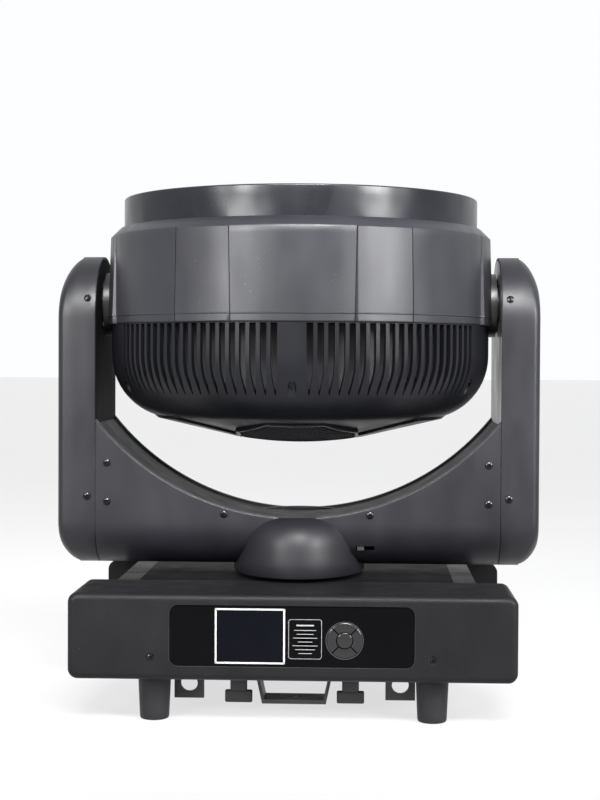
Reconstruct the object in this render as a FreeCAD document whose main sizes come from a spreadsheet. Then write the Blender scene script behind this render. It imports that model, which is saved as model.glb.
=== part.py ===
import FreeCAD, Part
import math
import os
import re

import Sketcher

# Moving head wash light, in millimetres. X runs to the right, Y away from the control panel and Z up.
# The origin is on the ground, under the pan axis. Each sub-part is labelled with its node's name.

SIZES = {
    # Base
    "base_floor": 41.6,
    "deck_top": 120.5,
    "base_half_depth": 165,
    "bezel_inner": 73,
    "bezel_half_width": 204.6,
    "bezel_wall": 3,
    "bezel_round": 9,
    "bezel_front_round": 6,
    "middle_half_width": 172,
    "deck_half_width": 151,
    "sheet_steel": 2,
    "foot_x": 128.6,
    "foot_y": 130,
    "foot_top": 15.5,
    "foot_bottom": 13.5,
    "grip_half_length": 50,
    "grip_low": 60,
    "grip_high": 100,
    "grip_depth": 28,
    "socket_z": 84,
    "socket_radius": 12,
    "socket_flange": 13,
    "power_bore": 9.5,
    "data_bore": 7.5,
    # Control panel
    "panel_half_width": 111.8,
    "panel_low": 54.2,
    "panel_high": 110.9,
    "panel_round": 8.5,
    "panel_inset": 2,
    "screen_left": -69.7,
    "screen_right": -6,
    "screen_low": 57.3,
    "screen_high": 107.7,
    "pad_x": 48,
    "pad_z": 79.4,
    "pad_radius": 16.5,
    "enter_radius": 6.9,
    "button_gap": 0.4,
    "face_screw_x": 128.2,
    "face_screw_z": 62.3,
    # Rigging hardware under the base
    "bracket_y": 95,
    "bracket_half_width": 15,
    "bracket_thickness": 4,
    "bracket_top": 14,
    "lock_x": 53,
    "lock_radius": 5,
    "clamp_hole": 6.5,
    "eye_x": 100,
    "eye_z": 26,
    "eye_radius": 8,
    "wing_low": 8,
    # Pan axis
    "hub_radius": 30,
    "hub_bore": 22,
    "hub_foot": 55,
    "hub_top": 166,
    "bearing_radius": 45,
    "running_fit": 0.05,
    "pan_pulley_radius": 42,
    "pan_belt_low": 149,
    "belt_width": 10,
    "belt_gap": 0.3,
    "belt_thickness": 1.7,
    "pinion_radius": 9,
    "pan_motor_x": 140,
    "motor_half": 28.5,
    "motor_shaft": 3.2,
    # Yoke
    "yoke_low": 132,
    "yoke_half_depth": 63.5,
    "yoke_top": 435.5,
    "yoke_corner": 43,
    "arm_inner": 196,
    "arm_outer": 233.3,
    "arm_top_round": 24,
    "cover_wall": 2.5,
    "arc_radius": 250,
    "arc_centre": 430,
    "arc_lip": 2.3,
    "dome_half_width": 65.5,
    "dome_half_depth": 92,
    "dome_low": 124,
    "frame_inner": 201,
    "frame_outer": 205,
    "frame_half": 36,
    "frame_low": 138,
    # Tilt axis
    "tilt_height": 388,
    "hub_disc_radius": 31.5,
    "trunnion_radius": 18,
    "tilt_bearing_radius": 26,
    "tilt_pulley_radius": 40,
    "tilt_pulley_x": -220,
    "tilt_motor_z": 180,
    # Head
    "hood_radius": 175.3,
    "hood_top": 490.4,
    "hood_wall": 4,
    "shell_radius": 188.4,
    "shell_shoulder": 461.5,
    "shell_low": 367,
    "shell_wall": 3.5,
    "panel_top_radius": 189.4,
    "panel_low_radius": 192.5,
    "basket_radius": 187.6,
    "basket_top": 366,
    "basket_round": 62,
    "basket_wall": 3,
    "grille_radius": 57,
    "grille_height": 258,
    "grille_sag": 6,
    "slot_width": 5.2,
    "slot_pitch": 2.95,
    "slot_low": 301,
    "slot_high": 362,
    "glass_low": 470,
    "glass_thickness": 4,
    "lens_plate_low": 434,
    "lens_radius": 20.5,
    "lens_pitch": 44,
    "sink_radius": 150,
    "sink_plate": 178,
    "sink_low": 306,
    "sink_pocket": 72,
    "sink_top": 402,
    "fin_thickness": 2,
    "fin_pitch": 11,
    "fan_radius": 62,
    "fan_low": 302,
    "fan_top": 330,
    "fan_post": 46.6,
    "screw_head": 3.4,
    "head_screw_ring": 179.2,
}

POWER_SOCKETS = (-100, -66)
DATA_SOCKETS = (0, 30, 60, 90)

doc = FreeCAD.newDocument("MovingHead")
sheet = doc.addObject("Spreadsheet::Sheet", "Sizes")
for row, (alias, value) in enumerate(SIZES.items(), start=1):
    sheet.set(f"A{row}", alias.replace("_", " "))
    sheet.set(f"B{row}", str(value))
    sheet.setAlias(f"B{row}", alias)
doc.recompute()

SUB_PARTS = []
TURN_TO = {"X": ((0, 1, 0), 90), "Y": ((1, 0, 0), -90), "Z": ((0, 0, 1), 0)}
LEFT_RIGHT = (1, 0, 0)
FRONT_BACK = (0, 1, 0)


# Helpers: formulas, primitives, booleans and sketched bodies

def formula(text):
    """Point every alias in a formula at the sheet."""
    return re.sub(r"[a-z_]+", lambda word: "Sizes." + word[0] if word[0] in SIZES else word[0], str(text))


def size(text):
    """The present value of a formula."""
    return float(sheet.evalExpression(formula(text)))


def bind(thing, **formulas):
    for name, text in formulas.items():
        thing.setExpression(name, formula(text))
    return thing


def place(thing, x, y, z, axis=(0, 0, 1), angle=0):
    """Turn a thing about an axis, then bind its position to three formulas."""
    thing.Placement = FreeCAD.Placement(FreeCAD.Vector(), FreeCAD.Rotation(FreeCAD.Vector(*axis), angle))
    for name, text in zip("xyz", (x, y, z)):
        thing.setExpression("Placement.Base." + name, formula(text))
    return thing


def box(x, y, z):
    """A block given by its low and high formula along each axis."""
    block = doc.addObject("Part::Box", "block")
    for name, (low, high) in zip(("Length", "Width", "Height"), (x, y, z)):
        block.setExpression(name, formula(f"({high}) - ({low})"))
    return place(block, x[0], y[0], z[0])


def rod(radius, along, start, length):
    """A cylinder from a start point along X, Y or Z."""
    cylinder = bind(doc.addObject("Part::Cylinder", "rod"), Radius=radius, Height=length)
    return place(cylinder, *start, *TURN_TO[along])


def fuse(*things):
    union = doc.addObject("Part::MultiFuse", "union")
    union.Shapes = list(things)
    return union


def cut(base, *tools):
    result = doc.addObject("Part::Cut", "cut")
    result.Base = base
    result.Tool = tools[0] if len(tools) == 1 else fuse(*tools)
    return result


def common(first, second):
    result = doc.addObject("Part::MultiCommon", "common")
    result.Shapes = [first, second]
    return result


def group(*things):
    """Separate solids that share one node."""
    compound = doc.addObject("Part::Compound", "group")
    compound.Links = list(things)
    return compound


def mirrored(source, normal):
    mirror = doc.addObject("Part::Mirroring", "mirror")
    mirror.Source = source
    mirror.Base = FreeCAD.Vector(0, 0, 0)
    mirror.Normal = FreeCAD.Vector(*normal)
    return mirror


def computed(shape):
    """A shape made with Part functions, for what no primitive or sketch gives."""
    feature = doc.addObject("Part::Feature", "computed")
    feature.Shape = shape
    return feature


def sub_part(label, thing):
    thing.Label = label
    SUB_PARTS.append(thing)
    return thing


def outline(body, plane, corners, offset=0):
    """A closed sketch on an origin plane; every corner is bound to its two formulas."""
    sketch = body.newObject("Sketcher::SketchObject", "outline")
    origin = next(item for item in body.Origin.OriginFeatures if item.Role == plane)
    sketch.AttachmentSupport = (origin, [""])
    sketch.MapMode = "FlatFace"
    sketch.setExpression("AttachmentOffset.Base.z", formula(offset))
    points = [FreeCAD.Vector(size(across), size(up), 0) for across, up in corners]
    for number, point in enumerate(points):
        sketch.addGeometry(Part.LineSegment(point, points[(number + 1) % len(points)]))
    for number in range(len(points)):
        sketch.addConstraint(Sketcher.Constraint("Coincident", number, 2, (number + 1) % len(points), 1))
    for number, corner in enumerate(corners):
        for kind, text in zip(("DistanceX", "DistanceY"), corner):
            place_in_list = sketch.addConstraint(Sketcher.Constraint(kind, -1, 1, number, 1, size(text)))
            sketch.setExpression(f"Constraints[{place_in_list}]", formula(text))
    return sketch


def turned(corners, angle=360, start_angle=0):
    """A solid of revolution about Z; corners are (radius, height) formulas."""
    body = doc.addObject("PartDesign::Body", "turned")
    turn = body.newObject("PartDesign::Revolution", "revolution")
    turn.Profile = outline(body, "XZ_Plane", corners)
    turn.ReferenceAxis = (turn.Profile[0], ["V_Axis"])
    turn.Angle = angle
    body.Tip = turn
    start = FreeCAD.Rotation(FreeCAD.Vector(0, 0, 1), start_angle)
    body.Placement = FreeCAD.Placement(FreeCAD.Vector(), start)
    return body


def slab(plane, corners, low, high):
    """A sketched outline padded from one level to another along X, Y or Z."""
    body = doc.addObject("PartDesign::Body", "slab")
    pad = body.newObject("PartDesign::Pad", "pad")
    toward_negative = plane == "XZ_Plane"
    pad.Profile = outline(body, plane, corners, f"-({high})" if toward_negative else low)
    bind(pad, Length=f"({high}) - ({low})")
    body.Tip = pad
    return body


def rounded(body, radius, chosen):
    """Fillet the edges of a body for which chosen(edge) is true."""
    doc.recompute()
    base = body.Tip
    names = [f"Edge{number}" for number, edge in enumerate(base.Shape.Edges, start=1) if chosen(edge)]
    fillet = body.newObject("PartDesign::Fillet", "fillet")
    fillet.Base = (base, names)
    bind(fillet, Radius=radius)
    body.Tip = fillet
    return body


def runs_along(axis, **near):
    """An edge test: straight along an axis, with its middle at the given x, y or z formulas."""
    def chosen(edge):
        spans = {"X": edge.BoundBox.XLength, "Y": edge.BoundBox.YLength, "Z": edge.BoundBox.ZLength}
        if any(spans[other] > 0.01 for other in spans if other != axis):
            return False
        middle = edge.BoundBox.Center
        return all(abs(abs(getattr(middle, name)) - size(text)) < 0.1 for name, text in near.items())
    return chosen


def rim_at(height):
    """An edge test: a full circle about Z at a height."""
    def chosen(edge):
        flat = edge.BoundBox.ZLength < 0.01 and edge.BoundBox.XLength > 1
        return flat and abs(edge.BoundBox.ZMin - size(height)) < 0.1
    return chosen


def rectangle(across, up):
    return [(across[0], up[0]), (across[1], up[0]), (across[1], up[1]), (across[0], up[1])]


def around(shape, angles):
    """Copies of a Part shape turned about the Z axis."""
    copies = []
    for angle in angles:
        copy = shape.copy()
        copy.rotate(FreeCAD.Vector(), FreeCAD.Vector(0, 0, 1), angle)
        copies.append(copy)
    return copies


def belt_loop(along, first, second, radii, level):
    """A flat belt round two pulleys, standing a small gap off both."""
    def loop(offset):
        run = second - first
        lean = math.acos((radii[0] - radii[1]) / run.Length)
        ahead = FreeCAD.Vector(run).normalize()
        side = along.cross(ahead)
        points = []
        for centre, radius in ((first, radii[0] + offset), (second, radii[1] + offset)):
            for sign in (1, -1):
                points.append(centre + (ahead * math.cos(lean) + side * (sign * math.sin(lean))) * radius)
        back = first - ahead * (radii[0] + offset)
        front = second + ahead * (radii[1] + offset)
        edges = [Part.Arc(points[0], back, points[1]), Part.LineSegment(points[1], points[3]),
                 Part.Arc(points[3], front, points[2]), Part.LineSegment(points[2], points[0])]
        wire = Part.Wire([edge.toShape() for edge in edges])
        band = Part.Face(wire).extrude(along * size("belt_width"))
        band.translate(along * level)
        return band
    inside = size("belt_gap")
    return computed(loop(inside + size("belt_thickness")).cut(loop(inside)))


# Base: chassis, covers, bezels and control panel

def make_chassis():
    wall = "middle_half_width - 2*sheet_steel"
    floor = box((f"-({wall})", wall), ("-base_half_depth + 4", "base_half_depth - 4"),
                ("base_floor + 3.2", "base_floor + 3.2 + sheet_steel"))
    sides = []
    for low, high in ((f"-({wall})", f"sheet_steel - ({wall})"), (f"({wall}) - sheet_steel", wall)):
        sides.append(box((low, high), ("-base_half_depth + 4", "base_half_depth - 4"),
                         ("base_floor + 3.2", "deck_top - 4")))
    grips = box(("-middle_half_width", "middle_half_width"),
                ("-grip_half_length - 3.2", "grip_half_length + 3.2"), ("grip_low - 3.2", "grip_high + 3.2"))
    core = box(("-middle_half_width + 20", "middle_half_width - 20"), ("-base_half_depth", "base_half_depth"),
               ("base_floor + 3.2 + sheet_steel", "deck_top"))
    sub_part("base_chassis", cut(fuse(floor, *sides), grips, core))


def make_middle_covers():
    deck = box(("-deck_half_width", "deck_half_width"), ("-bezel_inner + 0.1", "bezel_inner - 0.1"),
               ("deck_top - 2.5", "deck_top"))
    sub_part("deck_cover", cut(deck, rod("hub_radius + 1", "Z", (0, 0, "deck_top - 5"), 10)))
    span = ("-bezel_inner + 0.1", "bezel_inner - 0.1")
    wall = box(("middle_half_width - sheet_steel", "middle_half_width"), span,
               ("base_floor + 3.2", "deck_top"))
    flange = box(("deck_half_width + 0.1", "middle_half_width"), span, ("deck_top - 2.5", "deck_top"))
    cup = box(("middle_half_width - grip_depth", "middle_half_width"),
              ("-grip_half_length - 3", "grip_half_length + 3"), ("grip_low - 3", "grip_high + 3"))
    hollow = box(("middle_half_width - grip_depth + 3", "middle_half_width + 1"),
                 ("-grip_half_length", "grip_half_length"), ("grip_low", "grip_high"))
    right = sub_part("side_panel_right", cut(fuse(wall, flange, cup), hollow))
    sub_part("side_panel_left", mirrored(right, LEFT_RIGHT))


def bezel_blank():
    """A moulded end cap of the base, open towards the middle, with rounded outer edges."""
    half = "bezel_half_width"
    outer = slab("XZ_Plane", rectangle((f"-{half}", half), ("base_floor", "deck_top")), "-base_half_depth",
                 "-bezel_inner")
    outer = rounded(outer, "bezel_round", runs_along("Y", x=half))
    doc.recompute()
    front = size("base_half_depth")
    outer = rounded(outer, "bezel_front_round", lambda edge: abs(edge.BoundBox.YMax + front) < 0.01)
    inner = box((f"-{half} + bezel_wall", f"{half} - bezel_wall"),
                ("-base_half_depth + bezel_wall", "-bezel_inner - bezel_wall"),
                ("base_floor + bezel_wall", "deck_top - bezel_wall"))
    mouth = box(("-middle_half_width + 2", "middle_half_width - 2"), ("-bezel_inner - 5", "-bezel_inner + 1"),
                ("base_floor + bezel_wall", "deck_top - bezel_wall"))
    return cut(outer, inner, mouth)


def base_screw_places(y):
    return [(f"{side}*face_screw_x", y, "face_screw_z") for side in (-1, 1)]


def bezel_recesses(seat, pilot):
    """Recesses for the screw heads and drillings for their shanks, from two Y levels."""
    heads = [rod(4.5, "Y", spot, 3) for spot in base_screw_places(seat)]
    return heads + [rod(2, "Y", spot, 12) for spot in base_screw_places(pilot)]


def lock_holes(y, low, length):
    """Holes for a bracket's two quarter-turn locks."""
    return [rod("lock_radius + 0.3", "Z", (x, y, low), length) for x in ("-lock_x", "lock_x")]


def make_bezels():
    blank = bezel_blank()
    opening = rectangle(("-panel_half_width", "panel_half_width"), ("panel_low", "panel_high"))
    window = slab("XZ_Plane", opening, "-base_half_depth - 1", "-base_half_depth + 8")
    window = rounded(window, "panel_round", runs_along("Y", x="panel_half_width"))
    recesses = bezel_recesses("-base_half_depth - 1", "-base_half_depth - 1")
    locks = lock_holes("-bracket_y", "base_floor - 1", 5)
    sub_part("front_bezel", cut(blank, window, *recesses, *locks))
    rear = mirrored(blank, FRONT_BACK)
    holes = [rod("socket_radius + 0.2", "Y", (x, "base_half_depth - 10", "socket_z"), 20)
             for x in POWER_SOCKETS + DATA_SOCKETS]
    recesses = bezel_recesses("base_half_depth - 2", "base_half_depth - 8")
    locks = lock_holes("bracket_y", "base_floor - 1", 5)
    sub_part("rear_bezel", cut(rear, *holes, *recesses, *locks))


def make_sockets():
    def socket(x, bore):
        barrel = rod("socket_radius", "Y", (x, "base_half_depth - 22", "socket_z"), 23)
        flange = box((f"{x} - socket_flange", f"{x} + socket_flange"),
                     ("base_half_depth", "base_half_depth + 2"), ("socket_z - 15", "socket_z + 15"))
        return cut(fuse(barrel, flange), rod(bore, "Y", (x, "base_half_depth - 14", "socket_z"), 20))
    sub_part("power_sockets", group(*[socket(x, "power_bore") for x in POWER_SOCKETS]))
    sub_part("data_sockets", group(*[socket(x, "data_bore") for x in DATA_SOCKETS]))


def make_control_panel():
    inset = "-base_half_depth + panel_inset"
    plate = slab("XZ_Plane", rectangle(("-panel_half_width + 0.1", "panel_half_width - 0.1"),
                                       ("panel_low + 0.1", "panel_high - 0.1")), inset, f"{inset} + 2.5")
    plate = rounded(plate, "panel_round - 0.1", runs_along("Y", x="panel_half_width - 0.1"))
    screen = box(("screen_left + 2", "screen_right - 2"), (f"{inset} - 1", f"{inset} + 4"),
                 ("screen_low + 2", "screen_high - 2"))
    pad = rod("pad_radius", "Y", ("pad_x", f"{inset} - 1", "pad_z"), 5)
    sub_part("control_panel", cut(plate, screen, pad))
    board_y = f"{inset} + 6"
    board = box((-90, 80), (board_y, f"{board_y} + 1.6"), (57, 109))
    screen = box(("screen_left + 2.2", "screen_right - 2.2"), (f"{inset} + 0.8", board_y),
                 ("screen_low + 2.2", "screen_high - 2.2"))
    switches = [rod(2.5, "Y", (x, f"{inset} + 4.5", z), 1.6) for x, z in switch_places()]
    sub_part("display_module", fuse(board, screen, *switches))


def switch_places():
    """The enter key, then the four direction keys round it."""
    reach = "12"
    return [("pad_x", "pad_z"), (f"pad_x - {reach}", "pad_z"), (f"pad_x + {reach}", "pad_z"),
            ("pad_x", f"pad_z - {reach}"), ("pad_x", f"pad_z + {reach}")]


def make_buttons():
    face = "-base_half_depth + panel_inset - 0.8"
    depth = 3.2
    sub_part("button_enter", rod("enter_radius", "Y", ("pad_x", face, "pad_z"), depth))
    ring = cut(rod("pad_radius - button_gap", "Y", ("pad_x", face, "pad_z"), depth),
               rod("enter_radius + button_gap", "Y", ("pad_x", f"{face} - 1", "pad_z"), depth + 2))
    for name, angle in (("right", 45), ("up", 135), ("left", 225), ("down", 315)):
        corner = box(("button_gap", 30), (0, 10), ("button_gap", 30))
        turn = math.radians(angle)
        shift_x = math.cos(turn) + math.sin(turn)
        shift_z = math.cos(turn) - math.sin(turn)
        place(corner, f"pad_x + button_gap*({shift_x:.6f})", "-base_half_depth - 5",
              f"pad_z + button_gap*({shift_z:.6f})", (0, 1, 0), angle)
        sub_part("button_" + name, common(ring, corner))


def make_base_inside():
    supply = box((-120, 60), (56, 140), ("base_floor + 3.2 + sheet_steel", 91))
    sub_part("power_supply", cut(supply, box((-117, 57), (59, 137), (88, 92))))
    low = "base_floor + 3.2 + sheet_steel"
    hub = turned([("hub_bore", low), ("hub_foot", low), ("hub_foot", f"{low} + 5"),
                  ("hub_radius", f"{low} + 5"), ("hub_radius", "hub_top"), ("hub_bore", "hub_top")])
    sub_part("pan_hub", hub)
    sub_part("pan_bearing", cut(rod("bearing_radius", "Z", (0, 0, 134), 12),
                                rod("hub_radius", "Z", (0, 0, 133), 14)))
    flange = "pan_pulley_radius + 2.2"
    pulley = turned([("hub_radius", "pan_belt_low - 2"), (flange, "pan_belt_low - 2"),
                     (flange, "pan_belt_low - 1"), ("pan_pulley_radius", "pan_belt_low - 1"),
                     ("pan_pulley_radius", "pan_belt_low + belt_width + 1"),
                     (flange, "pan_belt_low + belt_width + 1"), (flange, "pan_belt_low + belt_width + 2"),
                     ("hub_radius", "pan_belt_low + belt_width + 2")])
    sub_part("pan_pulley", pulley)


def make_feet_and_rigging():
    feet = []
    for x in ("-foot_x", "foot_x"):
        for y in ("-foot_y", "foot_y"):
            foot = doc.addObject("Part::Cone", "foot")
            bind(foot, Radius1="foot_bottom", Radius2="foot_top", Height="base_floor")
            feet.append(place(foot, x, y, 0))
    sub_part("rubber_feet", group(*feet))
    screws = []
    for head_y, shank_y in (("-base_half_depth + 0.2", "-base_half_depth + 2"),
                            ("base_half_depth - 2", "base_half_depth - 10")):
        for head, shank in zip(base_screw_places(head_y), base_screw_places(shank_y)):
            screws.append(fuse(rod(4.2, "Y", head, 1.8), rod(1.8, "Y", shank, 8)))
    sub_part("bezel_screws", group(*screws))
    brackets = [omega_bracket("-bracket_y"), omega_bracket("bracket_y")]
    sub_part("omega_brackets", group(*brackets))
    eyes = []
    for side in (-1, 1):
        x = f"{side}*eye_x"
        plate = box((f"{x} - 14", f"{x} + 14"), ("-bracket_y - 2.5", "-bracket_y + 2.5"),
                    ("eye_z - 14", "base_floor"))
        eyes.append(cut(plate, rod("eye_radius", "Y", (x, "-bracket_y - 5", "eye_z"), 10)))
    sub_part("safety_eyes", group(*eyes))
    for row, y in (("front", "-bracket_y"), ("rear", "bracket_y")):
        for side, x in (("left", "-lock_x"), ("right", "lock_x")):
            sub_part(f"quick_lock_{row}_{side}", quick_lock(x, y))


def omega_bracket(y):
    """A steel strip with two tabs under the base and a hat between them for a hook clamp."""
    tab, thick = "base_floor", "bracket_thickness"
    half = [("lock_x + 14", tab), ("lock_x + 14", f"{tab} - {thick}"), (36, f"{tab} - {thick}"),
            (30, f"bracket_top - {thick}")]
    inner = [(28, "bracket_top"), (34, tab)]
    left = [(f"-({x})", z) for x, z in half]
    left_inner = [(f"-({x})", z) for x, z in inner]
    corners = left + half[::-1] + inner[::-1] + left_inner
    strip = slab("XZ_Plane", corners, f"{y} - bracket_half_width", f"{y} + bracket_half_width")
    clamp = rod("clamp_hole", "Z", (0, y, "bracket_top - 9"), 15)
    return cut(strip, clamp, *lock_holes(y, 30, 15))


def quick_lock(x, y):
    """A quarter-turn fastener: shank, collar and wing."""
    shank = rod("lock_radius", "Z", (x, y, 30), "base_floor + 2.6 - 30")
    collar_low = "base_floor - bracket_thickness - 4.6"
    collar = rod(8.5, "Z", (x, y, collar_low), 4.3)
    wing = box((f"{x} - 13", f"{x} + 13"), (f"{y} - 2", f"{y} + 2"), ("wing_low", f"{collar_low} + 1"))
    return fuse(shank, collar, wing)


# Yoke: frame, covers, motors and belts

def stadium(x, inset, low, rounding):
    """The side outline of an arm, full round on top, between two X levels."""
    half = f"yoke_half_depth - ({inset})"
    top = f"yoke_top - ({inset})"
    body = slab("YZ_Plane", rectangle((f"-({half})", half), (low, top)), *x)
    body = rounded(body, f"{half} - 0.1", runs_along("X", y=half, z=top))
    if rounding:
        body = rounded(body, rounding, runs_along("X", y=half, z=low))
    return body


def arm_blank(inset, open_side):
    """An arm's outside, or its inside when inset: a stadium with its outer corners rounded off."""
    outer = f"arm_outer - {inset}"
    side = stadium((open_side, outer), inset, f"yoke_low + {inset}", f"yoke_corner - {inset}")
    front = slab("XZ_Plane", rectangle((open_side, outer), (f"yoke_low + {inset}", f"yoke_top - {inset}")),
                 "-yoke_half_depth", "yoke_half_depth")
    front = rounded(front, f"arm_top_round - {inset}", runs_along("Y", x=outer))
    return common(side, front)


def yoke_screw_spots():
    """Front screws of the yoke: X, Z and how far behind the front plane the cover lies there."""
    arm_top = "yoke_half_depth - sqrt(yoke_half_depth^2 - (392 - yoke_top + yoke_half_depth)^2) - 1.2"
    spots = [("204", "392", arm_top), ("204", "200", "0")]
    spots += [("184.5", "232.5", "0"), ("184.5", "195", "0"), ("70.7", "183.5", "0")]
    return [(f"{sign}{x}", z, back) for x, z, back in spots for sign in ("", "-")]


def yoke_shanks():
    """The drillings for the cover screws, front and back."""
    shanks = []
    for x, z, back in yoke_screw_spots():
        for sign in (-1, 1):
            shanks.append(rod(1.6, "Y", (x, f"{sign}*(yoke_half_depth - ({back})) - 6", z), 12))
    return shanks


def make_yoke_covers():
    drillings = group(*yoke_shanks())
    blank = cut(arm_blank("0", "arm_inner"), arm_blank("cover_wall", "arm_inner - 1"))
    sub_part("arm_cover_right", cut(blank, drillings))
    sub_part("arm_cover_left", cut(mirrored(blank, LEFT_RIGHT), drillings))
    plate = stadium(("arm_inner", "arm_inner + cover_wall"), "cover_wall + 0.2", "262", None)
    plate = cut(plate, rod("tilt_bearing_radius + 1", "X", ("arm_inner - 5", 0, "tilt_height"), 10))
    sub_part("arm_plate_right", plate)
    sub_part("arm_plate_left", mirrored(plate, LEFT_RIGHT))
    make_dome()
    outer = beam_blank("0", "0")
    inner = beam_blank("cover_wall", "1")
    arc = rod("arc_radius", "Y", (0, -100, "arc_centre"), 200)
    skin = rod("arc_radius + arc_lip", "Y", (0, -100, "arc_centre"), 200)
    lip = box(("-arm_inner", "arm_inner"), ("-yoke_half_depth + 8", 1), (150, 301))
    hub_hole = rod("bearing_radius + 11", "Z", (0, 0, 120), 28)
    shell = cut(outer, cut(inner, skin), arc, common(lip, skin), hub_hole)
    dome = SUB_PARTS[-1]
    lock_slot = box((57, 75), (-70, -40), (148.9, 153.1))
    sub_part("crossbeam_cover_front", cut(shell, dome, lock_slot, drillings))
    sub_part("crossbeam_cover_rear", cut(mirrored(shell, FRONT_BACK), dome, drillings))
    sheet_low = rod("arc_radius + arc_lip + sheet_steel", "Y", (0, "-yoke_half_depth + 2.7", "arc_centre"),
                    "2*yoke_half_depth - 5.4")
    strip = box(("-arm_inner + 0.2", "arm_inner - 0.2"), ("-yoke_half_depth", "yoke_half_depth"), (150, 274))
    sub_part("arc_cover", common(cut(sheet_low, skin), strip))


def beam_blank(inset, back):
    """The crossbeam's outside, or its inside when inset, from the front to a Y level."""
    front = f"-(yoke_half_depth - {inset})"
    low = f"yoke_low + {inset}"
    ends = (f"-arm_inner + 0.1 - {inset}", f"arm_inner - 0.1 + {inset}")
    body = slab("YZ_Plane", rectangle((front, back), (low, 300)), *ends)
    return rounded(body, f"yoke_corner - {inset}", runs_along("X", y=f"yoke_half_depth - {inset}", z=low))


def oval(body, width, depth):
    """A turned body squeezed in X until its plan is an oval of the given half width and half depth."""
    doc.recompute()
    squeeze = FreeCAD.Matrix()
    squeeze.scale(size(width) / size(depth), 1, 1)
    return computed(body.Shape.transformGeometry(squeeze))


def make_dome():
    """The cover over the pan axis: an oval ring under the crossbeam that bulges out of its front and back."""
    width, depth = "dome_half_width", "dome_half_depth"
    share = [(124, 1), (138, 1), (148, 0.985), (160, 0.935), (171, 0.845), (179, 0.745), (181, 0.7)]
    rim = [(f"{depth}*{part}", height) for height, part in share]
    outer = oval(turned([(0, "dome_low"), *rim, (0, 181)]), width, depth)
    inside = [(f"{depth}*{part} - 4", height - (0 if part == 1 else 1.5)) for height, part in share]
    mouth = [(0, "dome_low - 1"), (inside[0][0], "dome_low - 1")]
    hollow = oval(turned(mouth + inside[1:] + [(0, 179.5)]), width, depth)
    sub_part("pan_dome", cut(outer, hollow, beam_blank("cover_wall", "yoke_half_depth - cover_wall")))


def make_yoke_frame():
    across = ("-frame_half", "frame_half")
    plate = box(("-frame_outer", "frame_outer"), across, ("frame_low", "frame_low + 4"))
    boss = rod("bearing_radius + 7", "Z", (0, 0, "frame_low - 3"), 11)
    bore = rod("bearing_radius + running_fit", "Z", (0, 0, 120), 40)
    uprights = []
    holes = []
    for low, far in (("frame_inner", "frame_outer"), ("-frame_outer", "-frame_inner")):
        uprights.append(box((low, far), across, ("frame_low", "tilt_height")))
        uprights.append(rod("frame_half", "X", (low, 0, "tilt_height"), 4))
        holes.append(rod("tilt_bearing_radius", "X", (f"{low} - 3", 0, "tilt_height"), 10))
        holes.append(rod(16, "X", (f"{low} - 3", 0, "tilt_motor_z"), 10))
    sub_part("yoke_frame", cut(fuse(plate, boss, *uprights), bore, *holes))
    rings = []
    for start in ("arm_inner + 3", "-arm_inner - 3 - 8"):
        rings.append(cut(rod("tilt_bearing_radius", "X", (start, 0, "tilt_height"), 8),
                         rod("trunnion_radius + running_fit", "X", (f"{start} - 1", 0, "tilt_height"), 10)))
    sub_part("tilt_bearings", group(*rings))


def pulley_teeth(along, start, radius, shaft_start, shaft_length):
    """A small motor pulley with the motor shaft it is fixed on."""
    wheel = rod(radius, along, start, "belt_width + 2")
    shaft = rod("motor_shaft", along, shaft_start, shaft_length)
    return fuse(wheel, shaft)


def make_drives():
    half = "motor_half"
    x = "pan_motor_x"
    can = box((f"{x} - {half}", f"{x} + {half}"), (f"-{half}", half), (164, 198))
    legs = []
    for side in (-1, 1):
        for end in (-1, 1):
            spot = (f"{x} + {side}*24", f"{end}*24", "frame_low + 4")
            legs.append(rod(3, "Z", spot, "164 - frame_low - 4"))
    bore = rod("motor_shaft + running_fit", "Z", (x, 0, 163), 30)
    sub_part("pan_motor", cut(fuse(can, *legs), bore))
    sub_part("pan_motor_pulley", pulley_teeth("Z", (x, 0, "pan_belt_low - 1"), "pinion_radius",
                                              (x, 0, "pan_belt_low - 1"), 38))
    z = "tilt_motor_z"
    can = box(("-frame_inner", "-frame_inner + 38"), (f"-{half}", half), (f"{z} - {half}", f"{z} + {half}"))
    bore = rod("motor_shaft + running_fit", "X", ("-frame_inner - 1", 0, z), 30)
    sub_part("tilt_motor", cut(can, bore))
    sub_part("tilt_motor_pulley", pulley_teeth("X", ("tilt_pulley_x", 0, z), "pinion_radius",
                                               ("tilt_pulley_x", 0, z), 48))
    up = FreeCAD.Vector(0, 0, 1)
    across = FreeCAD.Vector(1, 0, 0)
    pan_ends = [FreeCAD.Vector(0, 0, 0), FreeCAD.Vector(size(x), 0, 0)]
    radii = (size("pan_pulley_radius"), size("pinion_radius"))
    sub_part("pan_belt", belt_loop(up, *pan_ends, radii, size("pan_belt_low")))
    tilt_ends = [FreeCAD.Vector(0, 0, size("tilt_height")), FreeCAD.Vector(0, 0, size(z))]
    radii = (size("tilt_pulley_radius"), size("pinion_radius"))
    sub_part("tilt_belt", belt_loop(across, *tilt_ends, radii, size("tilt_pulley_x + 1")))


def make_yoke_small():
    screws = []
    for x, z, back in yoke_screw_spots():
        for sign in (-1, 1):
            surface = f"{sign}*(yoke_half_depth - ({back}))"
            head_start = f"{surface} - {1.8 if sign < 0 else 0}"
            shank_start = f"{surface} - {0 if sign < 0 else 5}"
            screws.append(fuse(rod("screw_head", "Y", (x, head_start, z), 1.8),
                               rod(1.5, "Y", (x, shank_start, z), 5)))
    sub_part("yoke_screws", group(*screws))
    sub_part("pan_lock", box((58.5, 65), (-60, -53), (149.3, 152.7)))


# Head: hood, shell, basket and what they hold

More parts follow.
